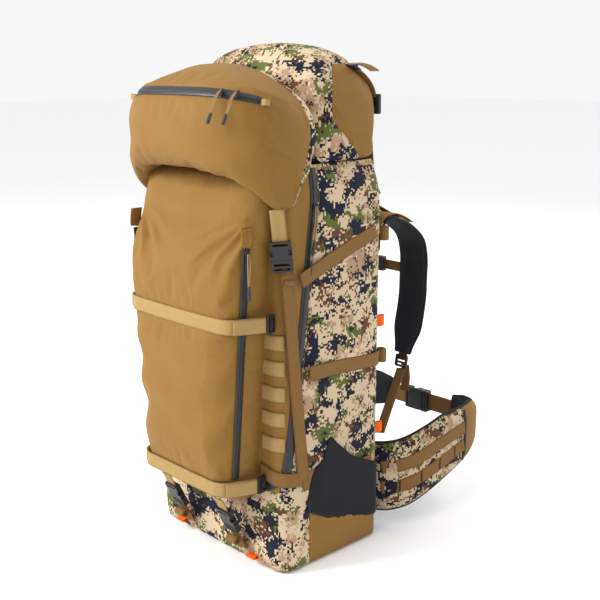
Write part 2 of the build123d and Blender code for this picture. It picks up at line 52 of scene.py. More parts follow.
# camera, paper floor and lamps
studio = {
    "cameraPlace": (1.3189, -1.1712, 0.8619),
    "azimuth": 46.5,
    "pitch": 13.4,
    "lens": 59.6,
    "floorSize": 40.0,
    "world": (1.0, 1.0, 1.0),
    "worldStrength": 0.93,
    "aim": (0, 0.05, 0.45),
    "lamps": {
        "keyPanel": ((-1.3, -2.4, 1.9), 1.1, 104),
        "sidePanel": ((2.9, 0.6, 1.8), 1.4, 7),
        "rearPanel": ((0.4, 2.8, 2.2), 1.6, 34),
        "topPanel": ((0.0, 0.0, 3.2), 1.2, 16),
    },
}


def buildStudio():
    data = bpy.data.cameras.new("studioCamera")
    data.lens = studio["lens"]
    data.sensor_width = 36
    camera = bpy.data.objects.new("studioCamera", data)
    camera.location = studio["cameraPlace"]
    camera.rotation_euler = (math.radians(90 - studio["pitch"]), 0, math.radians(studio["azimuth"]))
    scene.collection.objects.link(camera)
    scene.camera = camera
    bm = bmesh.new()
    bmesh.ops.create_grid(bm, x_segments=1, y_segments=1, size=studio["floorSize"] / 2)
    mesh = bpy.data.meshes.new("floor")
    bm.to_mesh(mesh)
    bm.free()
    floor = bpy.data.objects.new("floor", mesh)
    scene.collection.objects.link(floor)
    paper = Tree("floorPaper")
    paper.finish({"Base Color": (0.96, 0.96, 0.96, 1), "Roughness": 0.95})
    mesh.materials.append(paper.material)
    world = bpy.data.worlds.new("softRoom")
    world.use_nodes = True
    world.node_tree.nodes["Background"].inputs[0].default_value = (*studio["world"], 1)
    world.node_tree.nodes["Background"].inputs[1].default_value = studio["worldStrength"]
    scene.world = world
    scene.view_settings.view_transform = "Standard"
    for name, (place, size, power) in studio["lamps"].items():
        light = bpy.data.lights.new(name, "AREA")
        light.size = size
        light.energy = power
        lamp = bpy.data.objects.new(name, light)
        lamp.location = place
        aim = Vector(studio["aim"]) - Vector(place)
        lamp.rotation_euler = aim.to_track_quat("-Z", "Y").to_euler()
        scene.collection.objects.link(lamp)


# a shader socket that takes plain arithmetic
class Sock:
    def __init__(self, tree, socket):
        self.tree = tree
        self.socket = socket

    def maths(self, operation, first, second=None):
        values = {i: v for i, v in enumerate((first, second)) if v is not None}
        return self.tree.add("Math", {"operation": operation}, values)

    def __add__(self, other):
        return self.maths("ADD", self, other)

    __radd__ = __add__

    def __mul__(self, other):
        return self.maths("MULTIPLY", self, other)

    __rmul__ = __mul__

    def __sub__(self, other):
        return self.maths("SUBTRACT", self, other)

    def __rsub__(self, other):
        return self.maths("SUBTRACT", other, self)

    def __truediv__(self, other):
        return self.maths("DIVIDE", self, other)

    def __gt__(self, other):
        return self.maths("GREATER_THAN", self, other)

    def __lt__(self, other):
        return self.maths("LESS_THAN", self, other)

    def sine(self):
        return self.maths("SINE", self)

    def absolute(self):
        return self.maths("ABSOLUTE", self)

    def fraction(self):
        return self.maths("FRACT", self)

    def clamp(self):
        return self.maths("MAXIMUM", self.maths("MINIMUM", self, 1.0), 0.0)


class Tree:
    def __init__(self, name):
        self.material = bpy.data.materials.new(name)
        self.material.use_nodes = True
        self.nodes = self.material.node_tree.nodes
        self.links = self.material.node_tree.links
        self.nodes.clear()

    def add(self, kind, settings=None, inputs=None, out=0):
        node = self.nodes.new("ShaderNode" + kind)
        for key, value in (settings or {}).items():
            setattr(node, key, value)
        for key, value in (inputs or {}).items():
            if isinstance(value, Sock):
                self.links.new(value.socket, node.inputs[key])
            else:
                node.inputs[key].default_value = value
        return Sock(self, node.outputs[out])

    def split(self, vector):
        node = self.nodes.new("ShaderNodeSeparateXYZ")
        self.links.new(vector.socket, node.inputs[0])
        return [Sock(self, output) for output in node.outputs]

    def noise(self, vector, scale, detail=2.0, roughness=0.5):
        inputs = {"Vector": vector, "Scale": scale, "Detail": detail, "Roughness": roughness}
        return self.add("TexNoise", {"noise_dimensions": "3D"}, inputs)

    def mix(self, factor, first, second):
        first = first if isinstance(first, Sock) else (*first, 1)
        second = second if isinstance(second, Sock) else (*second, 1)
        return self.add("Mix", {"data_type": "RGBA"}, {"Factor": factor, 6: first, 7: second}, 2)

    def bump(self, height, strength, distance, normal=None):
        inputs = {"Height": height, "Strength": strength, "Distance": distance}
        if normal is not None:
            inputs["Normal"] = normal
        return self.add("Bump", None, inputs)

    def finish(self, inputs):
        shader = self.add("BsdfPrincipled", None, inputs)
        output = self.nodes.new("ShaderNodeOutputMaterial")
        self.links.new(shader.socket, output.inputs["Surface"])
        return self.material

    def cloth(self, inputs, sheen=0.03):
        return self.finish({**inputs, "Specular IOR Level": 0.16, "Sheen Weight": sheen,
                            "Sheen Roughness": 0.5})


colours = {
    "coyote": (0.262, 0.139, 0.029),
    "coyoteDeep": (0.198, 0.100, 0.020),
    "webTan": (0.385, 0.245, 0.090),
    "webCoyote": (0.215, 0.112, 0.031),
    "cream": (0.54, 0.42, 0.275),
    "pinkTan": (0.37, 0.24, 0.145),
    "brown": (0.100, 0.044, 0.021),
    "olive": (0.092, 0.115, 0.022),
    "night": (0.008, 0.010, 0.024),
    "orange": (1.0, 0.13, 0.002),
    "cordTan": (0.42, 0.26, 0.10),
    "black": (0.022, 0.022, 0.026),
    "backCloth": (0.020, 0.020, 0.023),
    "backCreases": (0.009, 0.009, 0.011),
    "buckle": (0.007, 0.007, 0.008),
    "softPlastic": (0.02, 0.02, 0.022),
}


def objectPlace(tree):
    return tree.add("TexCoord", None, None, "Object")


# plain weave that reads on any upright or level face
def weaveHeight(tree, place, pitch):
    x, y, z = tree.split(place)
    turns = 2 * math.pi / pitch
    warp = ((x + y) * turns).sine()
    weft = ((z + (x - y) * 0.31) * turns).sine()
    return warp * weft * 0.5 + 0.5


# stitches that follow a panel's edges, from the distance stored on its points
def stitchMask(tree, inset=0.0045, half=0.0006, pitch=0.0036):
    across = tree.add("Attribute", {"attribute_name": "edgeAcross"}, None, "Fac")
    along = tree.add("Attribute", {"attribute_name": "edgeAlong"}, None, "Fac")
    u, v = tree.split(tree.add("TexCoord", None, None, "UV"))[:2]

    def line(edge, run):
        band = (edge - inset).absolute() < half
        dash = (run / pitch).fraction() < 0.68
        return band * dash

    return (line(across, v) + line(along, u)).clamp()


def packCloth(name, colour, deep, pitch=0.0011, stitched=False, roughness=0.66, sheen=0.03):
    tree = Tree(name)
    place = objectPlace(tree)
    weave = weaveHeight(tree, place, pitch)
    patch = tree.noise(place, 9.0, 4.0, 0.6)
    slub = tree.noise(place, 420.0, 2.0)
    tone = (patch * 0.55 + slub * 0.35 + weave * 0.18 - 0.1).clamp()
    base = tree.mix(tone, deep, colour)
    creases = tree.noise(place, 38.0, 3.0, 0.55)
    normal = tree.bump(creases, 0.22, 0.004)
    normal = tree.bump(weave + slub * 0.6, 0.35, 0.0005, normal)
    if stitched:
        stitch = stitchMask(tree)
        base = tree.mix(stitch * 0.7, base, tuple(min(1, c * 1.35) for c in colour))
        normal = tree.bump(stitch, 0.6, 0.0006, normal)
    rough = patch * 0.14 + (roughness - 0.07)
    return tree.cloth({"Base Color": base, "Roughness": rough, "Normal": normal}, sheen)


# blotches cut into small square blocks, in five colours
def camoColour(tree, place, cell):
    cells = tree.add("VectorMath", {"operation": "SNAP"}, {0: place, 1: (cell, cell, cell)})
    block = tree.add("VectorMath", {"operation": "ADD"}, {0: cells, 1: (0.5 * cell,) * 3})
    speck = tree.add("TexWhiteNoise", {"noise_dimensions": "3D"}, {"Vector": block}, "Value")
    jitter = (speck - 0.5) * 0.15

    def blotch(shift, scale, level, stretch=(1, 1, 1)):
        moved = tree.add("Mapping", None, {"Vector": block, "Location": shift, "Scale": stretch})
        cloud = tree.noise(moved, scale, 2.0, 0.55)
        return (cloud + jitter) > level

    base = tree.mix(blotch((3, 1, 5), 26, 0.52), colours["cream"], colours["pinkTan"])
    base = tree.mix(blotch((9, 4, 2), 20, 0.585, (1, 1, 1.3)), base, colours["brown"])
    base = tree.mix(blotch((1, 7, 8), 17, 0.562, (1, 1, 1.5)), base, colours["olive"])
    base = tree.mix(blotch((6, 2, 1), 30, 0.60), base, colours["cream"])
    base = tree.mix(blotch((2, 5, 9), 22, 0.560, (1, 1, 1.2)), base, colours["night"])
    return tree.mix(blotch((5, 8, 3), 60, 0.70), base, colours["brown"])


def camoCloth(name="camoCloth", cell=0.0034):
    tree = Tree(name)
    place = objectPlace(tree)
    weave = weaveHeight(tree, place, 0.0013)
    shade = tree.noise(place, 7.0, 3.0)
    base = camoColour(tree, place, cell)
    dark = tree.add("VectorMath", {"operation": "SCALE"}, {0: base, "Scale": shade * 0.5 + 0.72})
    stitch = stitchMask(tree)
    dark = tree.mix(stitch * 0.6, dark, colours["webTan"])
    creases = tree.noise(place, 34.0, 3.0, 0.5)
    normal = tree.bump(creases, 0.25, 0.004)
    normal = tree.bump(weave, 0.3, 0.0005, normal)
    normal = tree.bump(stitch, 0.6, 0.0006, normal)
    return tree.cloth({"Base Color": dark, "Roughness": shade * 0.1 + 0.72, "Normal": normal})


# flat woven tape: ribs across, a tighter edge on each side
def tapeCloth(name, colour, rib=0.0017):
    tree = Tree(name)
    place = objectPlace(tree)
    u, v = tree.split(tree.add("TexCoord", None, None, "UV"))[:2]
    ribs = (v * (2 * math.pi / rib)).sine()
    lanes = (u * (2 * math.pi / (rib * 1.3))).sine()
    weave = ribs * lanes * 0.5 + 0.5
    edge = tree.add("Attribute", {"attribute_name": "edgeAcross"}, None, "Fac")
    selvedge = edge < 0.0016
    fuzz = tree.noise(place, 160.0, 3.0)
    tone = (weave * 0.4 + fuzz * 0.5 + 0.1 - selvedge * 0.25).clamp()
    base = tree.mix(tone, tuple(c * 0.62 for c in colour), tuple(min(1, c * 1.12) for c in colour))
    normal = tree.bump(weave + selvedge * 0.5, 0.55, 0.0006)
    return tree.cloth({"Base Color": base, "Roughness": fuzz * 0.1 + 0.72, "Normal": normal})


def spacerMesh():
    tree = Tree("spacerMesh")
    place = objectPlace(tree)
    x, y, z = tree.split(place)
    turns = 2 * math.pi / 0.0042
    holes = (((x + y) * turns).sine() * ((z + x * 0.3) * turns).sine()) > 0.25
    fuzz = tree.noise(place, 90.0, 3.0)
    # the hole pattern is the mesh's own; their near-black colour is painted shade for the depth inside them, and
    # the bump also sinks them
    base = tree.mix(holes, colours["black"], (0.006, 0.006, 0.007))
    normal = tree.bump(fuzz - holes * 0.6, 0.6, 0.0012)
    return tree.cloth({"Base Color": base, "Roughness": fuzz * 0.1 + 0.8, "Normal": normal})


def stretchCloth():
    tree = Tree("stretchCloth")
    place = objectPlace(tree)
    weave = weaveHeight(tree, place, 0.0009)
    patch = tree.noise(place, 14.0, 4.0)
    base = tree.mix((patch * 0.8 + weave * 0.2).clamp(), (0.006, 0.006, 0.009), (0.016, 0.016, 0.021))
    stitch = stitchMask(tree)
    base = tree.mix(stitch * 0.5, base, (0.08, 0.08, 0.09))
    normal = tree.bump(weave, 0.4, 0.0004, tree.bump(tree.noise(place, 46.0, 3.0), 0.3, 0.004))
    return tree.cloth({"Base Color": base, "Roughness": patch * 0.12 + 0.72, "Normal": normal})


def mouldedPlastic(name, colour, roughness=0.42):
    tree = Tree(name)
    place = objectPlace(tree)
    grain = tree.noise(place, 900.0, 2.0)
    wear = tree.noise(place, 45.0, 4.0, 0.6)
    base = tree.mix((wear * 0.7).clamp(), colour, tuple(c * 1.9 + 0.004 for c in colour))
    normal = tree.bump(grain, 0.18, 0.0003)
    return tree.finish({"Base Color": base, "Roughness": wear * 0.18 + (roughness - 0.05),
                        "Normal": normal})


def coatedMetal():
    tree = Tree("coatedMetal")
    place = objectPlace(tree)
    wear = tree.noise(place, 130.0, 4.0, 0.65)
    scuff = wear > 0.66
    base = tree.mix(scuff * 0.5, (0.02, 0.02, 0.022), (0.16, 0.15, 0.15))
    normal = tree.bump(wear, 0.15, 0.0004)
    return tree.finish({"Base Color": base, "Roughness": 0.34 + wear * 0.15, "Metallic": scuff * 0.6 + 0.2,
                        "Normal": normal})


def brushedBar():
    tree = Tree("brushedBar")
    place = objectPlace(tree)
    lines = tree.noise(tree.add("Mapping", None, {"Vector": place, "Scale": (60, 60, 2)}), 30.0, 3.0)
    base = tree.mix(lines, (0.42, 0.43, 0.45), (0.62, 0.63, 0.65))
    return tree.finish({"Base Color": base, "Metallic": 1.0, "Roughness": lines * 0.2 + 0.25,
                        "Normal": tree.bump(lines, 0.1, 0.0002)})


def zipTapeMaterial():
    tree = Tree("zipTape")
    u, v = tree.split(tree.add("TexCoord", None, None, "UV"))[:2]
    place = objectPlace(tree)
    fuzz = tree.noise(place, 220.0, 2.0)
    seam = u.absolute() < 0.0006
    coil = (v * (2 * math.pi / 0.0021)).sine() * (u.absolute() < 0.0026)
    base = tree.mix(seam, (0.014, 0.014, 0.016), (0.003, 0.003, 0.003))
    normal = tree.bump(coil * 0.4 - seam * 1.0 + fuzz * 0.2, 0.5, 0.0007)
    return tree.finish({"Base Color": base, "Roughness": 0.36 + fuzz * 0.16, "Normal": normal})


def cordMaterial(name, colour):
    tree = Tree(name)
    place = objectPlace(tree)
    x, y, z = tree.split(place)
    turns = 2 * math.pi / 0.0018
    braid = ((z + x + y) * turns).sine() * ((z - x - y) * turns).sine()
    base = tree.mix((braid * 0.5 + 0.5).clamp(), tuple(c * 0.55 for c in colour), colour)
    return tree.finish({"Base Color": base, "Roughness": 0.75, "Normal": tree.bump(braid, 0.5, 0.0005)})


buildStudio()
print("studio and camera in place")

finishes = {
    "coyote": packCloth("coyoteCloth", colours["coyote"], colours["coyoteDeep"], stitched=True),
    "camo": camoCloth(),
    "webTan": tapeCloth("webTan", colours["webTan"]),
    "webCoyote": tapeCloth("webCoyote", colours["webCoyote"]),
    "webBlack": tapeCloth("webBlack", colours["black"]),
    "orangeTape": tapeCloth("orangeTape", colours["orange"]),
    "mesh": spacerMesh(),
    "stretch": stretchCloth(),
    "backCloth": packCloth("backCloth", colours["backCloth"], colours["backCreases"], sheen=0.02),
    "buckle": mouldedPlastic("bucklePlastic", colours["buckle"]),
    "sheet": mouldedPlastic("framePlastic", colours["softPlastic"], 0.5),
    "metal": coatedMetal(),
    "bar": brushedBar(),
    "zip": zipTapeMaterial(),
    "cord": cordMaterial("pullCord", colours["cordTan"]),
    "grip": mouldedPlastic("gripRubber", colours["softPlastic"], 0.55),
}


def dressNodes():
    slots = {
        "buckle_plastic": "buckle", "frame_sheet": "sheet", "frame_stay": "bar", "slider_black": "metal",
        "zip_black": "zip", "cord": "cord", "orange_webbing": "orangeTape", "tan_webbing": "webTan",
        "coyote_webbing": "webCoyote", "spacer_mesh": "mesh", "black_fabric": "backCloth",
        "camo_fabric": "camo",
        "coyote_fabric": "coyote",
    }
    for row in frame["record"]["subparts"]:
        mesh = frame["nodes"][row["node"]].data
        mesh.materials.clear()
        mesh.materials.append(finishes[slots[row["material_slot"]]])


dressNodes()
print("moulded and metal pieces dressed")


# a mesh made into a named piece that rides on its body
def makePiece(name, bm, body, slot, finish, hides=()):
    mesh = bpy.data.meshes.new(name)
    bm.to_mesh(mesh)
    bm.free()
    for face in mesh.polygons:
        face.use_smooth = True
    piece = bpy.data.objects.new(name, mesh)
    scene.collection.objects.link(piece)
    mesh.materials.append(finishes[finish])
    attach(piece, body)
    if hides:
        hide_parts(*hides)
    return piece


def thicken(piece, thickness, offset=-1.0):
    wall = piece.modifiers.new("clothThickness", "SOLIDIFY")
    wall.thickness = thickness
    wall.offset = offset
    return piece


def ease(value, low=0.0, high=1.0):
    t = min(1.0, max(0.0, (value - low) / (high - low)))
    return t * t * (3 - 2 * t)


def wrinkle(place, grain, seed):
    scaled = Vector((place.x * grain[0], place.y * grain[1], place.z * grain[2])) + Vector((seed, 2 * seed,
                                                                                            3 * seed))
    ridges = 1 - abs(noise.noise(scaled)) * 2.4
    return ridges * 0.6 + noise.noise(scaled * 2.3) * 0.4


# a sheet of cloth laid by point(u, w, out), puffed between its seams and puckered beside them
def clothGrid(point, size, cell=0.006, puff=0.0, creases=0.0, pucker=0.0, grain=(9, 9, 5), seed=0.0,
              soft=0.02,
              closeEnds=False, flipped=False, press=None):
    bm = bmesh.new()
    columns = max(3, round(size[0] / cell))
    rows = max(3, round(size[1] / cell))
    bmesh.ops.create_grid(bm, x_segments=columns, y_segments=rows, size=0.5)
    across = bm.verts.layers.float.new("edgeAcross")
    along = bm.verts.layers.float.new("edgeAlong")
    uv = bm.loops.layers.uv.new("laid")
    for face in bm.faces:
        for loop in face.loops:
            loop[uv].uv = (loop.vert.co.x * size[0], (loop.vert.co.y + 0.5) * size[1])
    for vert in bm.verts:
        u, w = vert.co.x + 0.5, vert.co.y + 0.5
        edgeU = min(u, 1 - u) * size[0]
        edgeW = min(w, 1 - w) * size[1]
        vert[across] = 1.0 if closeEnds else edgeU
        vert[along] = 1.0 if closeEnds else edgeW
        edge = min(edgeU, edgeW)
        place = point(u, w, 0.0)
        lift = puff * (1 - math.exp(-edge / soft))
        if creases:
            lift += creases * wrinkle(place, grain, seed) * (1 - math.exp(-edge / (soft * 0.6)))
        if pucker:
            run = w * size[1] if edgeU < edgeW else u * size[0]
            wave = noise.noise(Vector((run * 95, seed, 0.5)))
            lift += pucker * wave * math.exp(-((edge - 0.009) / 0.008) ** 2)
        if press:
            lift *= press(place)
        vert.co = point(u, w, lift)
    if closeEnds:
        bmesh.ops.remove_doubles(bm, verts=bm.verts, dist=0.00005)
    if flipped:
        bmesh.ops.reverse_faces(bm, faces=bm.faces)
    return bm


# smooth line through points, asked for by the fraction of its run
def smoothPath(points):
    knots = [Vector(p) for p in points]
    lengths = [0.0]
    for a, b in zip(knots, knots[1:]):
        lengths.append(lengths[-1] + (b - a).length)
    total = lengths[-1]

    def through(knots, w):
        goal = min(max(w, 0.0), 1.0) * total
        i = max(k for k in range(len(knots) - 1) if lengths[k] <= goal + 1e-9)
        t = (goal - lengths[i]) / (lengths[i + 1] - lengths[i])
        start, end = knots[i], knots[i + 1]
        before = knots[i - 1] if i else start * 2 - end
        after = knots[i + 2] if i + 2 < len(knots) else end * 2 - start
        slope = end - before
        curve = before * 2 - start * 5 + end * 4 - after
        twist = start * 3 - before - end * 3 + after
        return (start * 2 + slope * t + curve * t * t + twist * t ** 3) * 0.5

    def at(w):
        return through(knots, w)

    at.total = total
    at.reach = lambda i: lengths[i] / total
    at.bent = lambda others: lambda w: through(others, w)
    return at


cushioning = {"frames": 20, "quality": 5, "mass": 0.22, "stretch": 16, "bend": 0.35}


# fills a mesh like a stuffed bag: pressure on loose cloth, some held down, no point moving past the cap
def fillCloth(bm, held, pressure, spare, cap):
    mesh = bpy.data.meshes.new("filling")
    bm.to_mesh(mesh)
    stuffed = bpy.data.objects.new("filling", mesh)
    scene.collection.objects.link(stuffed)
    group = stuffed.vertex_groups.new(name="held")
    group.add([v.index for v in mesh.vertices if held(v.co)], 1.0, "REPLACE")
    cloth = stuffed.modifiers.new("filling", "CLOTH")
    cloth.settings.quality = cushioning["quality"]
    cloth.settings.mass = cushioning["mass"]
    cloth.settings.tension_stiffness = cushioning["stretch"]
    cloth.settings.compression_stiffness = cushioning["stretch"]
    cloth.settings.bending_stiffness = cushioning["bend"]
    cloth.settings.use_pressure = True
    cloth.settings.uniform_pressure_force = pressure
    cloth.settings.vertex_group_mass = "held"
    cloth.settings.shrink_min = -spare
    cloth.settings.effector_weights.gravity = 0
    cloth.collision_settings.use_collision = False
    for moment in range(1, cushioning["frames"] + 1):
        scene.frame_set(moment)
    filled = stuffed.evaluated_get(bpy.context.evaluated_depsgraph_get()).data
    for vert, after in zip(bm.verts, filled.vertices):
        move = after.co - vert.co
        if move.length > cap:
            move *= cap / move.length
        vert.co += move
    bpy.data.objects.remove(stuffed)
    bpy.data.meshes.remove(mesh)
    scene.frame_set(1)


# flat strap through points, its width lying along the across direction at each end
def strap(name, points, width, across, body, slot, finish, hides=(), thickness=0.0016, cell=0.004,
          wave=0.0):
    path = smoothPath(points)
    first, last = [Vector(v).normalized() for v in (across if isinstance(across, list) else [across,
                                                                                             across])]

    def point(u, w, out):
        here = path(w)
        ahead = path(min(1, w + 0.004)) - path(max(0, w - 0.004))
        side = first.lerp(last, w)
        tangent = ahead.normalized()
        side = (side - tangent * side.dot(tangent)).normalized()
        normal = tangent.cross(side)
        bend = wave * noise.noise(Vector((w * 6, len(name), 0)))
        return here + side * (u - 0.5) * width + normal * (out + bend)

    bm = clothGrid(point, (width, path.total), cell)
    piece = makePiece(name, bm, body, slot, finish, hides)
    return thicken(piece, thickness, 0.0)


# round cord through points, its ends closed and rounded
def tubeMesh(points, radius, cell=0.0016, sides=10):
    path = smoothPath(points)

    def point(u, w):
        ahead = (path(min(1, w + 0.01)) - path(max(0, w - 0.01))).normalized()
        side = Vector((0.31, 0.17, 1)) if abs(ahead.z) < 0.8 else Vector((1, 0.23, 0.1))
        side = (side - ahead * side.dot(ahead)).normalized()
        other = ahead.cross(side)
        r = radius * max(0.0, 1 - abs(2 * w - 1) ** (path.total / radius * 1.2)) ** 0.5
        turn = u * 2 * math.pi
        return path(w) + side * math.cos(turn) * r + other * math.sin(turn) * r

    bm = bmesh.new()
    rows = max(6, round(path.total / cell))
    bmesh.ops.create_grid(bm, x_segments=sides, y_segments=rows, size=0.5)
    uv = bm.loops.layers.uv.new("laid")
    for face in bm.faces:
        for loop in face.loops:
            loop[uv].uv = (loop.vert.co.x * radius * 6, (loop.vert.co.y + 0.5) * path.total)
    for vert in bm.verts:
        vert.co = point(vert.co.x + 0.5, vert.co.y + 0.5)
    bmesh.ops.remove_doubles(bm, verts=bm.verts, dist=0.00004)
    bmesh.ops.recalc_face_normals(bm, faces=bm.faces)
    return bm


# outline of the main bag, from the frame
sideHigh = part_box("side_panel_right")[1]
frontLow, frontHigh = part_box("front_panel")
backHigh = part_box("back_panel")[1]
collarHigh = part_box("top_collar")[1]
zipJoint = [j for j in frame["joints"] if j["name"] == "main_zip_right_lower"][0]
bag = {
    "half": sideHigh.x,
    "front": frontLow.y,
    "back": backHigh.y,
    "corner": 0.026,
    "top": frontHigh.z,
    "rim": collarHigh.z,
    "rimInset": 0.016,
    "baseRound": 0.010,
    "zipWide": 0.014,
}
zipLean = zipJoint["axis"][1] / zipJoint["axis"][2]
flatFront = bag["half"] - bag["corner"]
flatSide = bag["back"] - bag["front"] - 2 * bag["corner"]
quarter = bag["corner"] * math.pi / 2
halfRound = 2 * flatFront + 2 * quarter + flatSide


# distance round the bag of the right main zip's middle at a height
def zipLine(z):
    y = bag["front"] + 0.073 - (bag["top"] - z) * zipLean
    return flatFront + quarter + (y - bag["front"] - bag["corner"])


# point on the bag, t round from the middle of its front towards +X
def bagPoint(t, z, out=0.0):
    side = 1 if t >= 0 else -1
    s = abs(t)
    r = bag["corner"]
    if s <= flatFront:
        x, y, nx, ny = s, bag["front"], 0.0, -1.0
    elif s <= flatFront + quarter:
        a = (s - flatFront) / r
        nx, ny = math.sin(a), -math.cos(a)
        x, y = flatFront + r * nx, bag["front"] + r + r * ny
    elif s <= flatFront + quarter + flatSide:
        x, y, nx, ny = bag["half"], bag["front"] + r + s - flatFront - quarter, 1.0, 0.0
    elif s <= flatFront + 2 * quarter + flatSide:
        a = (s - flatFront - quarter - flatSide) / r
        nx, ny = math.cos(a), math.sin(a)
        x, y = flatFront + r * nx, bag["back"] - r + r * ny
    else:
        x, y, nx, ny = flatFront - (s - flatFront - 2 * quarter - flatSide), bag["back"], 0.0, 1.0
    if z > bag["top"] - 0.02:
        out -= bag["rimInset"] * ((z - bag["top"] + 0.02) / 0.07) ** 1.8
    if z < bag["baseRound"]:
        drop = bag["baseRound"] - z
        out -= bag["baseRound"] - math.sqrt(max(0.0, bag["baseRound"] ** 2 - drop ** 2))
    return Vector((side * (x + nx * out), y + ny * out, z))


# panel between two distances round the bag, each a function of height
def bagPanel(name, left, right, low, high, slot, finish, hides=(), out=0.0, **cloth):
    middle = (low(0.5) + high(0.5)) / 2
    wide = abs(right(middle) - left(middle))
    tall = high(0.5) - low(0.5)

    def point(u, w, lift):
        z = low(u) + (high(u) - low(u)) * w
        return bagPoint(left(z) + (right(z) - left(z)) * u, z, out + lift)

    bm = clothGrid(point, (wide, tall), **cloth)
    return thicken(makePiece(name, bm, "pack", slot, finish, hides), 0.0014)


strapRuns = [((-0.088, 0.519), (0.088, 0.577)), ((-0.070, 0.358), (0.093, 0.3465)),
             ((-0.123, 0.178), (0.093, 0.1545)),
             ((-0.079, 0.170), (-0.115, 0.560))]


# how far a strap lets the cloth of the bag stand up beside it
def underStraps(place):
    held = 1.0
    for (y0, z0), (y1, z1) in strapRuns:
        run = Vector((y1 - y0, z1 - z0))
        spot = Vector((place.y - y0, place.z - z0))
        t = min(1.0, max(0.0, spot.dot(run) / run.length_squared))
        away = (spot - run * t).length
        held *= 1 - 0.85 * math.exp(-(away / 0.019) ** 4)
    return held


panelCloth = {"puff": 0.0055, "creases": 0.0026, "pucker": 0.0013, "soft": 0.035, "press": underStraps}
backSeam = flatFront + quarter + flatSide + quarter * 0.4


# height of a cut edge at a distance back
def alongEdge(points, y):
    for (y0, z0), (y1, z1) in zip(points, points[1:]):
        if y <= y1:
            return z0 + (z1 - z0) * max(0.0, (y - y0) / (y1 - y0))
    return points[-1][1]


def buildBag():
    half = bag["zipWide"] / 2
    cornerStart = flatFront + quarter + 0.037

    def fixed(value):
        return lambda at: value

    bagPanel("frontPanel", lambda z: -zipLine(z) + half, lambda z: zipLine(z) - half, fixed(0.150),
             fixed(bag["rim"] - 0.002), "coyote_fabric", "coyote", ["front_panel"], cell=0.007,
             puff=0.0015, creases=0.0012, soft=0.03, press=underStraps)
    for side, label in ((1, "right"), (-1, "left")):
        def inner(z, side=side):
            return side * (zipLine(z) + half)

        def outer(z, side=side):
            return side * backSeam
        left, right = (inner, outer) if side > 0 else (outer, inner)
        bagPanel("sidePanel" + label, left, right, fixed(0.112), fixed(bag["rim"]), "camo_fabric", "camo",
                 ["side_panel_" + label], seed=2.0 * side, grain=(9, 8, 6), **panelCloth)
        a, b = cornerStart * side, backSeam * side
        bagPanel("baseCorner" + label, fixed(min(a, b)), fixed(max(a, b)), fixed(0.0), fixed(0.114),
                 "coyote_fabric", "coyote", ["base_corners"] if side > 0 else [], seed=4.0, **panelCloth)
    bagPanel("backPanel", fixed(backSeam), fixed(2 * halfRound - backSeam), fixed(0.004), fixed(bag["rim"]),
             "black_fabric", "backCloth", ["back_panel"], cell=0.008, puff=-0.001, creases=0.0008)
    bagPanel("bootCloth", fixed(-cornerStart), fixed(cornerStart), fixed(0.0), fixed(0.152), "camo_fabric",
             "camo",
             ["bag_base"], seed=5.0, cell=0.006, puff=0.005, creases=0.0026, pucker=0.001, soft=0.03,
             press=underStraps)
    buildFloorPanel()
    buildCollar()


def buildFloorPanel():
    bm = bmesh.new()
    bmesh.ops.create_grid(bm, x_segments=40, y_segments=30, size=0.5)
    inset = bag["baseRound"]
    for vert in bm.verts:
        x = vert.co.x * 2 * (bag["half"] - inset)
        y = vert.co.y * (bag["back"] - bag["front"] - 2 * inset)
        r = bag["corner"] - inset
        cx = bag["half"] - inset - r
        cy = (bag["back"] - bag["front"]) / 2 - inset - r
        dx, dy = abs(x) - cx, abs(y) - cy
        if dx > 0 and dy > 0:
            reach = max(dx, dy) / math.hypot(dx, dy)
            x = math.copysign(cx + dx * reach, x)
            y = math.copysign(cy + dy * reach, y)
        vert.co = Vector((x, y, 0.0))
    bmesh.ops.reverse_faces(bm, faces=bm.faces)
    thicken(makePiece("baseFloor", bm, "pack", "camo_fabric", "camo"), 0.002)


def buildCollar():
    def point(u, w, lift):
        z = bag["rim"] - 0.012 + w * 0.014
        return bagPoint((u * 2 - 1) * halfRound, z, 0.0012 + lift)

    bm = clothGrid(point, (2 * halfRound, 0.014), cell=0.007)
    bmesh.ops.remove_doubles(bm, verts=bm.verts, dist=0.0004)
    thicken(makePiece("throatHem", bm, "pack", "camo_fabric", "camo", ["top_collar"]), 0.004)


buildBag()
print("main bag sewn")


# front pocket
pocketLow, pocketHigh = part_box("front_pocket")
pocket = {
    "topHalf": pocketHigh.x,
    "lowHalf": pocketHigh.x - 0.044,
    "seam": pocketHigh.y,
    "face": pocketLow.y,
    "round": 0.030,
    "swell": 0.007,
    "strapZ": (0.452, 0.165),
    "zipY": pocketLow.y + 0.029,
    "dartTop": (0.146, 0.627),
    "dartLow": (0.098, 0.573),
}


def pocketHalf(z):
    t = (z - pocketLow.z) / (pocketHigh.z - pocketLow.z)
    return pocket["lowHalf"] + (pocket["topHalf"] - pocket["lowHalf"]) * t


# how far the pocket's face stands out of its flat plane
def pocketSwell(x, z):
    across = max(0.0, 1 - min(1, abs(x) / (pocketHalf(z) * 0.92)) ** 2.4)
    rise = ease(z, pocketLow.z, pocketLow.z + 0.15) * (1 - ease(z, pocketHigh.z - 0.16,
                                                                pocketHigh.z + 0.03))
    held = 1.0
    for level in pocket["strapZ"]:
        held -= 0.42 * math.exp(-((z - level) / 0.030) ** 2)
    return pocket["swell"] * across * rise * held


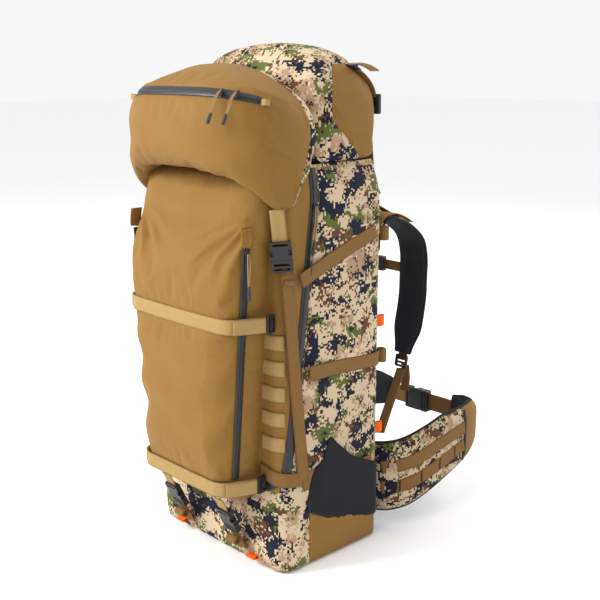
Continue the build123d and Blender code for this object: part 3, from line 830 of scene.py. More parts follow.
# point round the pocket: u from its left seam to its right, w from its lower edge to its top
def pocketPoint(profile, u, w, out):
    line = profile(w)
    depth = max(0.0004, pocket["seam"] - line.y)
    z = line.z
    half = pocketHalf(z)
    r = min(pocket["round"], depth * 0.85)
    parts = [depth - r, r * math.pi / 2, half - r]
    side = 1 if u > 0.5 else -1
    s = sum(parts) * (1 - abs(u * 2 - 1))
    if s <= parts[0]:
        x, y, nx, ny = half, pocket["seam"] - s, 1.0, 0.0
    elif s <= parts[0] + parts[1]:
        a = (s - parts[0]) / r
        nx, ny = math.cos(a), -math.sin(a)
        x, y = half - r + r * nx, pocket["seam"] - depth + r + r * ny
    else:
        x, y, nx, ny = half - r - (s - parts[0] - parts[1]), pocket["seam"] - depth, 0.0, -1.0
    lead = profile(min(1, w + 0.01)) - profile(max(0, w - 0.01))
    tilt = Vector((0, -lead.z, lead.y)).normalized()
    normal = Vector((side * nx, ny * abs(tilt.y), tilt.z * (0.2 + 0.8 * abs(ny)))).normalized()
    return Vector((side * x, y, z)) + normal * (out + pocketSwell(x, z) * abs(ny))


# folds that fan out of the sewn darts at the pocket's upper corners
def dartFolds(x, z):
    dx, dz = abs(x) - pocket["dartTop"][0], z - pocket["dartTop"][1]
    away = math.hypot(dx, dz)
    if away > 0.17 or away < 1e-6:
        return 0.0
    turn = math.atan2(dz, dx)
    fade = ease(away, 0.0, 0.03) * (1 - ease(away, 0.08, 0.17))
    return 0.0034 * fade * math.sin(turn * 17 + 1.2 * noise.noise(Vector((away * 24, turn * 3, 1))))


def dartSeam(x, z):
    (x0, z0), (x1, z1) = pocket["dartTop"], pocket["dartLow"]
    run = Vector((x1 - x0, z1 - z0))
    spot = Vector((abs(x) - x0, z - z0))
    t = min(1.0, max(0.0, spot.dot(run) / run.length_squared))
    return (spot - run * t).length


def buildPocket():
    seam, face = pocket["seam"], pocket["face"]
    low, high = pocketLow.z, pocketHigh.z
    line = [(0, seam, low), (0, face + 0.034, low - 0.001), (0, face + 0.008, low + 0.022),
            (0, face, low + 0.062),
            (0, face, low + 0.16), (0, face, low + 0.27), (0, face + 0.001, high - 0.13),
            (0, face + 0.012, high - 0.068),
            (0, face + 0.030, high - 0.022), (0, face + 0.044, high + 0.020),
            (0, face + 0.062, high + 0.058), (0, seam, high + 0.066)]
    profile = smoothPath(line)

    def point(u, w, out):
        base = pocketPoint(profile, u, w, 0.0)
        onFace = ease(abs(base.y - seam), 0.035, 0.070)
        extra = dartFolds(base.x, base.z) * onFace
        extra -= 0.0032 * math.exp(-(dartSeam(base.x, base.z) / 0.0030) ** 2) * onFace
        sag = 0.0022 * math.sin(base.z * 70 + 2.1 * math.sin(base.x * 22))
        sag *= math.exp(-((base.z - 0.30) / 0.13) ** 2)
        zipped = 1
        if abs(base.x) > pocketHalf(base.z) - 0.004:
            zipped = 1 - math.exp(-((base.y - pocket["zipY"]) / 0.011) ** 4)
        strapped = 1.0
        for level in pocket["strapZ"]:
            strapped *= 1 - 0.9 * math.exp(-((base.z - level) / 0.017) ** 4)
        return pocketPoint(profile, u, w, (out + (extra + sag * onFace)) * zipped * strapped)

    wide = 2 * (pocketHalf(low + 0.3) + seam - face)
    bm = clothGrid(point, (wide, profile.total), cell=0.0040, puff=0.001, creases=0.0022, pucker=0.0010,
                   grain=(10, 8, 3.4), seed=3.0)

    def held(p):
        onZip = abs(p.y - pocket["zipY"]) < 0.009 and abs(p.x) > pocketHalf(p.z) - 0.006
        onStrap = min(abs(p.z - level) for level in pocket["strapZ"]) < 0.011
        return p.y > seam - 0.004 or onZip or onStrap or (dartSeam(p.x, p.z) < 0.0035 and p.y < seam - 0.05)

    fillCloth(bm, held, 2.5, 0.012, 0.005)
    piece = makePiece("frontPocket", bm, "pack", "coyote_fabric", "coyote", ["front_pocket"])
    for side, label in ((1, "Right"), (-1, "Left")):
        rim = []
        for k in range(25):
            w = k / 24
            spot = pocketPoint(profile, 1.0 if side > 0 else 0.0, w, 0.0)
            rim.append(spot + Vector((side * 0.0008, -0.0010, 0)))
        makePiece("pocketPiping" + label, tubeMesh(rim, 0.0016, cell=0.004), "pack", "coyote_fabric",
                  "coyote")


buildPocket()
print("front pocket filled")
# lid; the front lobe has an outline at its middle and one at its ends, each as (y, z)
lidTopLow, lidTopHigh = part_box("lid_top_pocket")
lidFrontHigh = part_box("lid_front_pocket")[1]
lid = {
    "frontHalf": 0.181,
    "topHalf": lidTopHigh.x,
    "split": lidFrontHigh.y,
    "endSeam": 0.142,
    "bandY": -0.068,
    "bandPoint": (0, -0.058, 0.775),
    "bandSlope": 0.322,
    "zipKnot": 7,
    "zipHalf": 0.158,
    "middleHeart": (-0.125, 0.775),
    "endHeart": (-0.108, 0.715),
    "middle": [(-0.037, 0.700), (-0.035, 0.770), (-0.040, 0.834), (-0.055, 0.850), (-0.082, 0.857),
               (-0.132, 0.850), (-0.176, 0.834), (-0.198, 0.8187), (-0.209, 0.780), (-0.211, 0.742),
               (-0.206, 0.714), (-0.194, 0.697), (-0.180, 0.693), (-0.166, 0.699), (-0.146, 0.704),
               (-0.100, 0.702), (-0.070, 0.699)],
    "end": [(-0.060, 0.692), (-0.044, 0.745), (-0.046, 0.774), (-0.058, 0.788), (-0.084, 0.799),
            (-0.106, 0.808), (-0.122, 0.811), (-0.138, 0.805), (-0.151, 0.775), (-0.156, 0.735),
            (-0.156, 0.690), (-0.151, 0.650), (-0.145, 0.636), (-0.132, 0.627), (-0.114, 0.624),
            (-0.096, 0.630), (-0.082, 0.656)],
    "turnPower": {"low": 5.0, "front": 3.6, "top": 2.1},
    "turnReach": 0.172,
    "endPower": 9,
    "topCrown": 0.034,
    "cell": 0.0045,
    "pressure": 3.0,
    "spare": 0.022,
    "diagonal": ((0, -0.015, 0.780), -0.86),
    "endFold": ((0.142, 0.017, 0), (0.67, 0.74, 0)),
}


# shrink of a section towards the ends of a stuffed pocket
def endRound(x, half, power):
    return max(0.0, 1 - (abs(x) / half) ** power) ** (1 / power)


# two meshes: the faces whose middle passes the test, and the rest
def splitPiece(bm, inside):
    other = bm.copy()
    bmesh.ops.delete(bm, geom=[f for f in bm.faces if not inside(f.calc_center_median())], context="FACES")
    bmesh.ops.delete(other, geom=[f for f in other.faces if inside(f.calc_center_median())],
                     context="FACES")
    return bm, other


def cutAlong(bm, place, normal):
    bmesh.ops.bisect_plane(bm, geom=bm.verts[:] + bm.edges[:] + bm.faces[:], plane_co=place,
                           plane_no=normal,
                           dist=0.0001)


def ringPoint(ring, heart, x, half, power, w, out, turn=1):
    here = ring(w % 1.0)
    ahead = ring((w + 0.006) % 1.0) - ring((w - 0.006) % 1.0)
    normal = Vector((0, -ahead.z, ahead.y)).normalized() * turn
    scale = endRound(x, half, power)
    place = heart + (here - heart) * scale + normal * out * scale
    return Vector((x, place.y, place.z))


lidRing = smoothPath([(0, y, z) for y, z in lid["middle"] + lid["middle"][:1]])
lidColumns = {}


# section of the front lobe at x: the middle outline turns into the end one, the lower edge last
def lidFrontColumn(x):
    key = round(abs(x), 5)
    if key not in lidColumns:
        share = min(1.0, key / lid["turnReach"])
        knots = []
        for i, (mid, end) in enumerate(zip(lid["middle"], lid["end"])):
            power = lid["turnPower"]["low" if i > 9 or i < 1 else "front" if i > 5 else "top"]
            knots.append(Vector((0, *mid)).lerp(Vector((0, *end)), share ** power))
        heart = Vector((0, *lid["middleHeart"])).lerp(Vector((0, *lid["endHeart"])), share ** 2.4)
        lidColumns[key] = (lidRing.bent(knots + knots[:1]), heart)
    return lidColumns[key]


def lidFrontPoint(x, w, out):
    ring, heart = lidFrontColumn(x)
    return ringPoint(ring, heart, x, lid["frontHalf"], lid["endPower"], w, out, -1)


def zipTurn():
    return lidRing.reach(lid["zipKnot"])


def buildLidFront():
    half = lid["frontHalf"]
    turn = zipTurn()
    lower = lidRing.reach(12)

    def point(u, w, out):
        x = math.sin((u - 0.5) * math.pi) * half
        flat = lidFrontPoint(x, w, 0.0)
        outside = 1 if flat.y < -0.135 else ease(-flat.y, 0.085, 0.135)
        edge = abs(w - lower) * lidRing.total
        gather = 0.0034 * math.exp(-edge / 0.032) * noise.noise(Vector((x * 62, edge * 9, 2))) * outside
        drape = 0.0040 * math.sin(x * 26 + flat.z * 21 + 1.5) * math.sin(flat.z * 34) * ease(abs(x), 0.03,
                                                                                             0.15)
        zipped = 1 - math.exp(-((w - turn) * lidRing.total / 0.013) ** 4)
        seam = abs(flat.y - lid["bandY"]) if flat.z > 0.745 else abs(flat.y - bandAt(flat.z))
        groove = 0.0026 * math.exp(-(seam / 0.0035) ** 2)
        return lidFrontPoint(x, w, (out + gather + drape * outside) * zipped - groove)

    bm = clothGrid(point, (half * 2.1, lidRing.total), cell=lid["cell"], creases=0.0030, grain=(7, 7, 4),
                   seed=7.0,
                   closeEnds=True, soft=0.016, puff=0.0005)
    bmesh.ops.remove_doubles(bm, verts=bm.verts, dist=0.0008)
    bmesh.ops.recalc_face_normals(bm, faces=bm.faces)
    zipLow = [lidFrontPoint(x * 0.01, turn, 0.0) for x in range(-17, 18)]

    def held(p):
        inner = p.y > lid["split"] - 0.012 or (p.z < 0.72 and p.y > -0.155 and abs(p.x) < 0.16)
        onZip = p.y < -0.10 and min((p - q).length for q in zipLow) < 0.013
        onSeam = abs(p.y - (lid["bandY"] if p.z > 0.745 else bandAt(p.z))) < 0.003
        return inner or onZip or onSeam

    fillCloth(bm, held, lid["pressure"], lid["spare"], 0.007)
    cutAlong(bm, (0, lid["bandY"], 0), (0, 1, 0))
    cutAlong(bm, lid["bandPoint"], (0, 1, -lid["bandSlope"]))
    cloth, band = splitPiece(bm, lambda p: p.y < lid["bandY"] and p.y < bandAt(p.z))
    piece = makePiece("lidFrontPocket", cloth, "lid", "coyote_fabric", "coyote", ["lid_front_pocket"])
    thicken(piece, 0.0014)
    piece = makePiece("lidFrontGusset", band, "lid", "camo_fabric", "camo")
    thicken(piece, 0.0014)


def bandAt(z):
    return lid["bandPoint"][1] - (lid["bandPoint"][2] - z) * lid["bandSlope"]


def lidTopShape():
    low, high = 0.698, lidTopHigh.z
    front, rear = lidTopLow.y, lidTopHigh.y
    loop = [(front, low + 0.014), (front - 0.001, low + 0.090), (front + 0.001, high - 0.034),
            (front + 0.024, high - 0.007), (front + 0.062, high), (front + 0.100, high - 0.004),
            (rear - 0.014, high - 0.034), (rear, high - 0.090), (rear - 0.001, low + 0.036),
            (rear - 0.008, low + 0.006),
            (front + 0.06, low), (front + 0.014, low + 0.002), (front, low + 0.014)]
    return smoothPath([(0, y, z) for y, z in loop]), Vector((0, (front + rear) / 2, low + 0.062))


lidTopRing, lidTopHeart = lidTopShape()


def lidTopPoint(x, w, out):
    place = ringPoint(lidTopRing, lidTopHeart, x, lid["topHalf"] + 0.004, lid["endPower"], w, out)
    crown = lid["topCrown"] * (abs(x) / lid["topHalf"]) ** 2.2
    return place - Vector((0, 0, crown * ease(place.z, 0.76, 0.88)))


def buildLidTop():
    half = lid["topHalf"] + 0.004
    corner, slope = lid["diagonal"]  # seam that falls to the rear across each end
    fold, across = (Vector(v) for v in lid["endFold"])
    foldLeft, acrossLeft = Vector((-fold.x, fold.y, 0)), Vector((-across.x, across.y, 0))
    cut = lid["endSeam"]

    def isEnd(p):
        rear = (Vector((abs(p.x), p.y, 0)) - fold).dot(across) > 0
        return abs(p.x) > cut and rear and p.z > corner[2] + slope * (p.y - corner[1])

    def point(u, w, out):
        x = math.sin((u - 0.5) * math.pi) * half
        flat = lidTopPoint(x, w, 0.0)
        edge = abs(Vector((abs(x), flat.y,
                           0)).dot(across) - fold.dot(across)) if abs(x) > cut else abs(abs(x) - cut)
        seam = 0.0024 * math.exp(-(edge / 0.0035) ** 2)
        fall = flat.z - corner[2] - slope * (flat.y - corner[1])
        seam += 0.0020 * math.exp(-(fall / 0.005) ** 2) if abs(x) > cut else 0
        return lidTopPoint(x, w, out - seam)

    bm = clothGrid(point, (half * 2.1, lidTopRing.total), cell=lid["cell"], creases=0.0034,
                   grain=(7, 7, 6), seed=12.0,
                   closeEnds=True, soft=0.016)
    bmesh.ops.remove_doubles(bm, verts=bm.verts, dist=0.0008)
    bmesh.ops.recalc_face_normals(bm, faces=bm.faces)
    fillCloth(bm, lambda p: p.z < 0.712 or abs(abs(p.x) - cut) < 0.003, lid["pressure"], lid["spare"],
              0.006)
    cutAlong(bm, (cut, 0, 0), (1, 0, 0))
    cutAlong(bm, (-cut, 0, 0), (1, 0, 0))
    cutAlong(bm, corner, (0, -slope, 1))
    cutAlong(bm, fold, across)
    cutAlong(bm, foldLeft, acrossLeft)
    ends, body = splitPiece(bm, isEnd)
    piece = makePiece("lidTopPocket", body, "lid", "camo_fabric", "camo", ["lid_top_pocket"])
    thicken(piece, 0.0014)
    right, left = splitPiece(ends, lambda p: p.x > 0)
    for end, label in ((right, "Right"), (left, "Left")):
        piece = makePiece("lidEnd" + label, end, "lid", "coyote_fabric", "coyote")
        thicken(piece, 0.0014)


def lidTape(name, width, out, finish, reach, hides=()):
    turn = zipTurn()

    def point(u, w, lift):
        x = reach * (2 * w - 1)
        return lidFrontPoint(x, turn + (u - 0.5) * width / lidRing.total, out + lift)

    bm = clothGrid(point, (width, 2 * reach), 0.0030)
    bmesh.ops.recalc_face_normals(bm, faces=bm.faces)
    return thicken(makePiece(name, bm, "lid", "zip_black", finish, hides), 0.0012, 0.0)


def buildLidZip():
    turn = zipTurn()
    lidTape("lidZipTape", 0.0165, 0.0012, "zip", lid["zipHalf"], ["lid_zip"])
    lidTape("lidZipTeeth", 0.0052, 0.0022, "zip", lid["zipHalf"] - 0.002)
    for node, x in (("lid_slider_a", 0.134), ("lid_slider_b", 0.110)):
        spot = lidFrontPoint(x, turn, 0.0062 if node.endswith("a") else 0.0042)
        down = lidFrontPoint(x, turn + 0.02, 0) - lidFrontPoint(x, turn - 0.02, 0)
        face = lidFrontPoint(x, turn, 0.01) - lidFrontPoint(x, turn, 0)
        place = seat(spot, face, down.normalized() + Vector((0.22, 0.12, -0.3)))
        label = "Near" if node.endswith("a") else "Far"
        zipSlider("lidSlider" + label, node, place, node, 0.060, 0.0030)
    for side, label in ((1, "Right"), (-1, "Left")):
        root = lidFrontPoint(side * (lid["zipHalf"] + 0.005), turn, 0.0004)
        foldTab("lidLoop" + label, root, (side * 0.75, -0.62, 0.10), 0.010, (0, 0, 1), 0.020, "lid",
                "tan_webbing",
                "webTan", bulge=0.006)


def buildLidRear():
    for side, label in ((1, "Right"), (-1, "Left")):
        x = side * 0.130
        run = [(x, 0.137, 0.603), (x, 0.1290, 0.662), (x, 0.1215, 0.722), (x, 0.1178, 0.764)]
        strap("rearLidStrap" + label, run, 0.020, (1, 0, 0), "lid", "coyote_webbing", "webCoyote")
        x = side * 0.148
        down = [lidTopPoint(x, w, 0.0040) for w in (0.415, 0.445, 0.48, 0.52, 0.56)]
        strap("lidCinch" + label, down, 0.020, (1, 0, 0), "lid", "coyote_webbing", "webCoyote")
        top = down[0]
        ahead = (down[1] - down[0]).normalized()
        face = Vector((0, -ahead.z, ahead.y))
        face = face if face.z > 0 else -face
        place = seat(top, face, ahead)
        glide = blockMesh((0.028, 0.0036, 0.020), 0.0014)
        glide.transform(place)
        makePiece("lidGlide" + label, glide, "lid", "buckle_plastic", "buckle")
        bar = blockMesh((0.030, 0.0034, 0.0044), 0.0012)
        bar.transform(place @ Matrix.Translation((0, -0.0028, 0.002)))
        makePiece("lidGlideBar" + label, bar, "lid", "buckle_plastic", "buckle")
        tail = [top + face * 0.005, top + Vector((0, 0.016, 0.006)), top + Vector((0, 0.038, 0.002)),
                top + Vector((0, 0.058, -0.006))]
        strap("lidCinchTail" + label, tail, 0.019, (1, 0, 0), "lid", "tan_webbing", "webTan",
              thickness=0.0026)
        low = down[-1]
        clip = blockMesh((0.030, 0.0075, 0.034), 0.0024)
        clip.transform(seat(low + Vector((0, 0.004, -0.012)), (0, 1, 0.02), (0, 0, -1)))
        makePiece("lidCinchClip" + label, clip, "lid", "buckle_plastic", "buckle")


buildLidFront()
buildLidTop()
print("lid pockets filled")
# webbing, zips and pulls
slotOf = {row["node"]: row["material_slot"] for row in frame["record"]["subparts"]}
trim = {
    "tape": 0.0254,
    "tapeThick": 0.0016,
    "loopRadius": 0.0011,
    "gripRadius": 0.0031,
    "coilInner": 0.0026,
}


# frame whose -Y faces out and whose -Z hangs down
def seat(place, face, hang):
    back = -Vector(face).normalized()
    up = -Vector(hang).normalized()
    up = (up - back * up.dot(back)).normalized()
    right = back.cross(up)
    turned = Matrix((right, back, up)).transposed().to_4x4()
    return Matrix.Translation(place) @ turned


def tube(name, points, radius, body, slot, finish, hides=(), cell=0.0016, sides=10):
    return makePiece(name, tubeMesh(points, radius, cell=cell, sides=sides), body, slot, finish, hides)


def blockMesh(size, bevel, segments=3):
    bm = bmesh.new()
    bmesh.ops.create_cube(bm, size=1.0)
    bmesh.ops.scale(bm, vec=size, verts=bm.verts)
    bmesh.ops.bevel(bm, geom=bm.edges[:], offset=bevel, segments=segments, profile=0.5, affect="EDGES",
                    material=-1)
    return bm


def addMesh(bm, other, matrix):
    spare = bpy.data.meshes.new("spare")
    other.transform(matrix)
    other.to_mesh(spare)
    other.free()
    bm.from_mesh(spare)
    bpy.data.meshes.remove(spare)


# slider with its bridge, a doubled cord and a moulded grip, hung from the seat
def zipSlider(name, node, place, body, length, swing=0.0):
    metal = blockMesh((0.0088, 0.0026, 0.0128), 0.0011)
    for vert in metal.verts:
        vert.co.x *= 1 - 0.22 * max(0.0, -vert.co.z / 0.0064)
    metal.transform(Matrix.Translation((0, -0.0014, 0)))
    addMesh(metal, tubeMesh([(0, -0.0022, 0.0045), (0, -0.0046, 0.003), (0, -0.0048, -0.002),
                             (0, -0.0024, -0.0045)],
                            0.0009), Matrix())
    metal.transform(place)
    makePiece(name + "Body", metal, body, slotOf[node], "metal", [node])
    out = -0.0045 - swing
    drop = length * 0.66
    loop = [(-0.0014, out, -drop - 0.004), (-0.0016, out, -drop * 0.7),
            (-0.0024, out - 0.0006, -drop * 0.35),
            (-0.0016, -0.0044, 0.0002), (0, -0.0040, 0.0022), (0.0016, -0.0044, 0.0002),
            (0.0022, out - 0.0008, -drop * 0.32), (0.0020, out, -drop * 0.7), (0.0014, out, -drop - 0.004)]
    cord = tubeMesh(loop, trim["loopRadius"])
    cord.transform(place)
    makePiece(name + "Loop", cord, body, "cord", "cord")
    grip = tubeMesh([(0, out, -drop), (0, out, -drop - 0.006), (0, out - 0.0002, -length)],
                    trim["gripRadius"])
    for ring in (0.003, 0.0072, 0.0114):
        for vert in grip.verts:
            if abs(vert.co.z + drop + ring) < 0.0011:
                vert.co.x *= 0.8
                vert.co.y = out + (vert.co.y - out) * 0.8
    grip.transform(place)
    makePiece(name + "Grip", grip, body, slotOf[node], "grip")


# tape lying on the bag along (distance round, height) points
def roundBag(name, points, width, node, finish, out, hides=(), cell=0.004, puff=0.0, pucker=0.0,
             body="pack"):
    path = smoothPath([(t, z, 0) for t, z in points])

    def point(u, w, lift):
        ahead = path(min(1, w + 0.004)) - path(max(0, w - 0.004))
        side = Vector((ahead.y, -ahead.x, 0)).normalized()
        spot = path(w) + side * (u - 0.5) * width
        return bagPoint(spot.x, spot.y, out + lift)

    bm = clothGrid(point, (width, path.total), cell, puff=puff, pucker=pucker, soft=0.008)
    bmesh.ops.recalc_face_normals(bm, faces=bm.faces)
    piece = makePiece(name, bm, body, slotOf[node], finish, hides)
    return thicken(piece, trim["tapeThick"], 0.0)


# distance round the bag of a point on its right side
def sideT(y):
    return flatFront + quarter + y - bag["front"] - bag["corner"]


def buildMainZips():
    low = 0.205
    turnZ = 0.157
    top = bag["top"] - 0.004
    right = [(zipLine(bag["rim"]), bag["rim"] - 0.003), (zipLine(top), top), (zipLine(0.5), 0.5),
             (zipLine(0.35), 0.35), (zipLine(low), low),
             (zipLine(low) - 0.010, low - 0.024), (zipLine(low) - 0.034, turnZ + 0.003), (0.120, turnZ),
             (0.06, turnZ)]
    whole = right + [(-t, z) for t, z in reversed(right)]
    roundBag("mainZipTape", whole, bag["zipWide"] + 0.002, "main_zips", "zip", 0.0006, ["main_zips"],
             cell=0.003)
    for side, label in ((1, "Right"), (-1, "Left")):
        teeth = [(side * t, z) for t, z in right[:7]]
        roundBag("mainZipTeeth" + label, teeth, 0.0050, "main_zips", "zip", 0.0016, cell=0.0018)
        for end, drop in (("upper", 0.014), ("lower", 0.048)):
            z = bag["top"] - drop
            node = "main_slider_" + label.lower() + "_" + end
            spot = bagPoint(side * zipLine(z), z, 0.0022)
            place = seat(spot, (side, 0, 0), (0, -zipLean, -1))
            swing = 0.0018 if end == "upper" else 0.0
            zipSlider("mainSlider" + label + end.title(), node, place, node, 0.080, swing)


def buildLadder():
    for row in range(5):
        z = 0.226 + row * 0.04445 + 0.0127
        for side, label in ((1, "Right"), (-1, "Left")):
            points = [(side * (flatFront + shift), z) for shift in (-0.024, 0.0, 0.024)]
            hides = ["molle_webbing"] if row == 0 and side > 0 else []
            roundBag("ladderRow%d%s" % (row, label), points, trim["tape"], "molle_webbing", "webTan",
                     0.0024, hides,
                     puff=0.0016)


def buildLowSideStraps():
    for side, label in ((1, "Right"), (-1, "Left")):
        points = [(0.118, 0.1865), (flatFront + 0.008, 0.178), (sideT(-0.060), 0.168),
                  (sideT(-0.016), 0.1545),
                  (sideT(0.040), 0.1545), (sideT(0.093), 0.1545)]
        roundBag("lowSideStrap" + label, [(side * t, z) for t, z in points], trim["tape"], "side_straps",
                 "webCoyote",
                 0.0035, ["side_straps"] if side > 0 else [])


# spare strap end rolled on itself
def coil(name, centre, width, radius, body, node, finish, axis="z", turn=0.0):
    turns = 2.6
    points = []
    for k in range(37):
        a = turn + k / 36 * turns * 2 * math.pi
        r = trim["coilInner"] + (radius - trim["coilInner"]) * k / 36
        flat = (r * math.cos(a), r * math.sin(a))
        points.append(Vector((flat[0], flat[1], 0)) if axis == "z" else Vector((0, flat[0], flat[1])))
    across = (0, 0, 1) if axis == "z" else (1, 0, 0)
    points = [Vector(centre) + p for p in points]
    return strap(name, points, width, across, body, slotOf[node], finish, thickness=0.0014, cell=0.003)


def buildSideStraps():
    out = bag["half"] + 0.0014
    for side, label in ((1, "Right"), (-1, "Left")):
        for name, z, slope, startY in (("upper", 0.548, 18, -0.093), ("middle", 0.353, -4, -0.0696)):
            lean = math.radians(slope)

            def spot(x, y):
                return (side * x, y * math.cos(lean), z + y * math.sin(lean))

            points = [spot(out + 0.0084, startY), spot(out + 0.0064, startY + 0.034),
                      spot(out + 0.0022, -0.01),
                      spot(out, 0.042), spot(out, 0.088), spot(out - 0.0016, 0.104),
                      spot(out - 0.009, 0.121)]
            across = (0, -math.sin(lean), math.cos(lean))
            strap(name + "SideStrap" + label, points, trim["tape"], across, "pack", slotOf["side_straps"],
                  "webCoyote")
            rollZ = 0.570 if name == "upper" else 0.345
            centre = (side * (bag["half"] - 0.014), bag["back"] + 0.0115, rollZ)
            coil(name + "StrapRoll" + label, centre, trim["tape"] * 0.98, 0.009, "pack", "side_straps",
                 "webCoyote",
                 turn=math.pi if side > 0 else 0.0)


def pocketFaceY(x, z):
    return pocket["face"] - 0.0020 - pocketSwell(x, z)


def buildFrontStraps():
    for name, z in (("chestFrontStrap", 0.452), ("lowFrontStrap", 0.165)):
        half = pocketHalf(z)
        hook = half + 0.022
        right = [(hook, -0.1454), (hook - 0.006, -0.161), (half + 0.006, -0.186), (half - 0.002, -0.2005),
                 (half - 0.016, pocket["face"] - 0.0012)]
        face = [(x, pocketFaceY(x, z)) for x in [half * k / 4 for k in (3, 2, 1, 0, -1, -2, -3)]]
        points = right + face + [(-x, y) for x, y in reversed(right)]
        strap(name, [(x, y, z) for x, y in points], trim["tape"], (0, 0, 1), "pack",
              slotOf["front_straps"], "webTan",
              ["front_straps"] if name == "chestFrontStrap" else [], cell=0.0036, wave=0.0006)
        for side, label in ((1, "Right"), (-1, "Left")):
            fold = [(side * (half + 0.0035), -0.1985, z), (side * (half + 0.009), -0.189, z),
                    (side * (half + 0.0185), -0.166, z), (side * (hook + 0.0022), -0.1478, z)]
            strap(name + "Fold" + label, fold, trim["tape"] * 0.96, (0, 0, 1), "pack",
                  slotOf["front_straps"],
                  "webTan", thickness=0.0030)


def buildLidStraps():
    x = bag["half"] + 0.0036
    for side, label in ((1, "Right"), (-1, "Left")):
        points = [(side * x, -0.0770, 0.160), (side * x, -0.0790, 0.178), (side * x, -0.0970, 0.355),
                  (side * x, -0.1150, 0.533)]
        strap("lidStrap" + label, points, trim["tape"], (0, 1, 0), "pack", slotOf["lid_straps"],
              "webCoyote",
              ["lid_straps"] if side > 0 else [])
        neck = [(side * x, -0.1150, 0.532), (side * (x - 0.001), -0.1165, 0.537),
                (side * 0.1722, -0.1200, 0.5435)]
        strap("lidStrapNeck" + label, neck, trim["tape"] * 0.98, [(0, 1, 0), (side * 0.7, 0.7, 0)], "pack",
              slotOf["lid_straps"], "webCoyote")
        fork = [(side * (x - 0.0004), -0.0740, 0.168), (side * (x - 0.001), -0.0690, 0.148)]
        strap("strapAnchor" + label, fork, 0.016, (0, 1, 0.2), "pack", slotOf["lid_straps"], "webCoyote",
              thickness=0.0034)
        keeper = [(side * (x + 0.0022), -0.127 + 0.0035, 0.520), (side * (x + 0.0026), -0.1135, 0.5185),
                  (side * (x + 0.0022), -0.100, 0.517)]
        strap("strapKeeper" + label, keeper, 0.010, (0, 0, 1), "pack", slotOf["lid_straps"], "webCoyote")
        tilt = math.radians(6.7)
        axis = Vector((0, -math.sin(tilt), math.cos(tilt)))
        base = Vector((side * 0.1711, -0.1221, 0.557))
        tab = [base + axis * 0.0268, base + axis * 0.040, base + axis * 0.062,
               base + axis * 0.082 + Vector((-side * 0.002, 0.001, 0))]
        strap("lidTab" + label, tab, trim["tape"] * 0.96, (side * 0.707, 0.707, 0), "lid",
              slotOf["lid_webbing"],
              "webTan", ["lid_webbing"] if side > 0 else [], thickness=0.0026)


def buildLowerStraps():
    tilt = math.radians(26.5)
    axis = Vector((0, -math.sin(tilt), math.cos(tilt)))
    face = Vector((0, -math.cos(tilt), -math.sin(tilt)))
    for side, label in ((1, "Right"), (-1, "Left")):
        base = Vector((side * 0.075, -0.1599, 0.084))
        upper = [base + axis * 0.0268, base + axis * 0.040, base + axis * 0.056]
        strap("lowerTab" + label, upper, 0.0246, (1, 0, 0), "pack", slotOf["lower_straps"], "webTan",
              ["lower_straps"] if side > 0 else [])
        lower = [base - axis * 0.0150, base - axis * 0.034, base - axis * 0.066]
        strap("lowerRun" + label, lower, 0.0246, (1, 0, 0), "pack", slotOf["lower_straps"], "webCoyote")
        coil("lowerRoll" + label, base - axis * 0.036 + face * 0.0095, 0.0246, 0.0074, "pack",
             "lower_straps",
             "webCoyote", axis="x")


# loop of tape folded back on itself
def foldTab(name, root, out, width, across, length, body, slot, finish, hides=(), bulge=0.004):
    out = Vector(out).normalized()
    side = Vector(across).normalized()
    rise = out.cross(side)
    root = Vector(root)
    points = [root + rise * 0.0010, root + out * length * 0.5 + rise * bulge, root + out * length,
              root + out * length * 0.5 - rise * bulge, root - rise * 0.0010]
    return strap(name, points, width, across, body, slot, finish, hides, cell=0.002, thickness=0.0012)


def buildTabs():
    slot = slotOf["pull_tabs"]
    for side, label in ((1, "Right"), (-1, "Left")):
        foldTab("frontTab" + label, (side * 0.102, bag["front"] + 0.001, 0.0185), (0, -1, -0.12), 0.020,
                (1, 0, 0),
                0.0165, "pack", slot, "orangeTape", ["pull_tabs"] if side > 0 else [], 0.0022)
        for name, z in (("upperTab", 0.408), ("lowerTab", 0.204)):
            foldTab(name + "Rear" + label, (side * 0.1555, bag["back"] - 0.001, z + 0.002),
                    (side * 0.1, 1, 0), 0.021,
                    (0, 0, 1), 0.0185, "pack", slot, "orangeTape", bulge=0.0025)


def buildStretchPockets():
    top = [(-0.069, 0.120), (-0.062, 0.163), (-0.029, 0.200), (-0.019, 0.231), (0.038, 0.180),
           (0.111, 0.146)]
    low = [(-0.069, 0.106), (0.013, 0.061), (0.111, 0.046)]
    for side, label in ((1, "Right"), (-1, "Left")):
        def point(u, w, lift, side=side):
            y = top[0][0] + (top[-1][0] - top[0][0]) * u
            z0, z1 = alongEdge(low, y), alongEdge(top, y)
            z = z0 + (z1 - z0) * w
            gap = 0.0035 + 0.004 * w * math.sin(math.pi * u)
            return bagPoint(side * sideT(y), z, gap + lift)

        bm = clothGrid(point, (0.18, 0.13), 0.005, puff=0.001, creases=0.0016, pucker=0.0008, seed=8.0,
                       soft=0.016,
                       flipped=side > 0)
        bmesh.ops.recalc_face_normals(bm, faces=bm.faces)
        piece = makePiece("stretchPocket" + label, bm, "pack", slotOf["stretch_pockets"], "stretch",
                          ["stretch_pockets"] if side > 0 else [])
        thicken(piece, 0.0012, 0.0)
        hem = [point(k / 14, 1.0, 0.0008) for k in range(15)]
        tube("pocketHem" + label, hem, 0.0016, "pack", slotOf["stretch_pockets"], "stretch", cell=0.004)


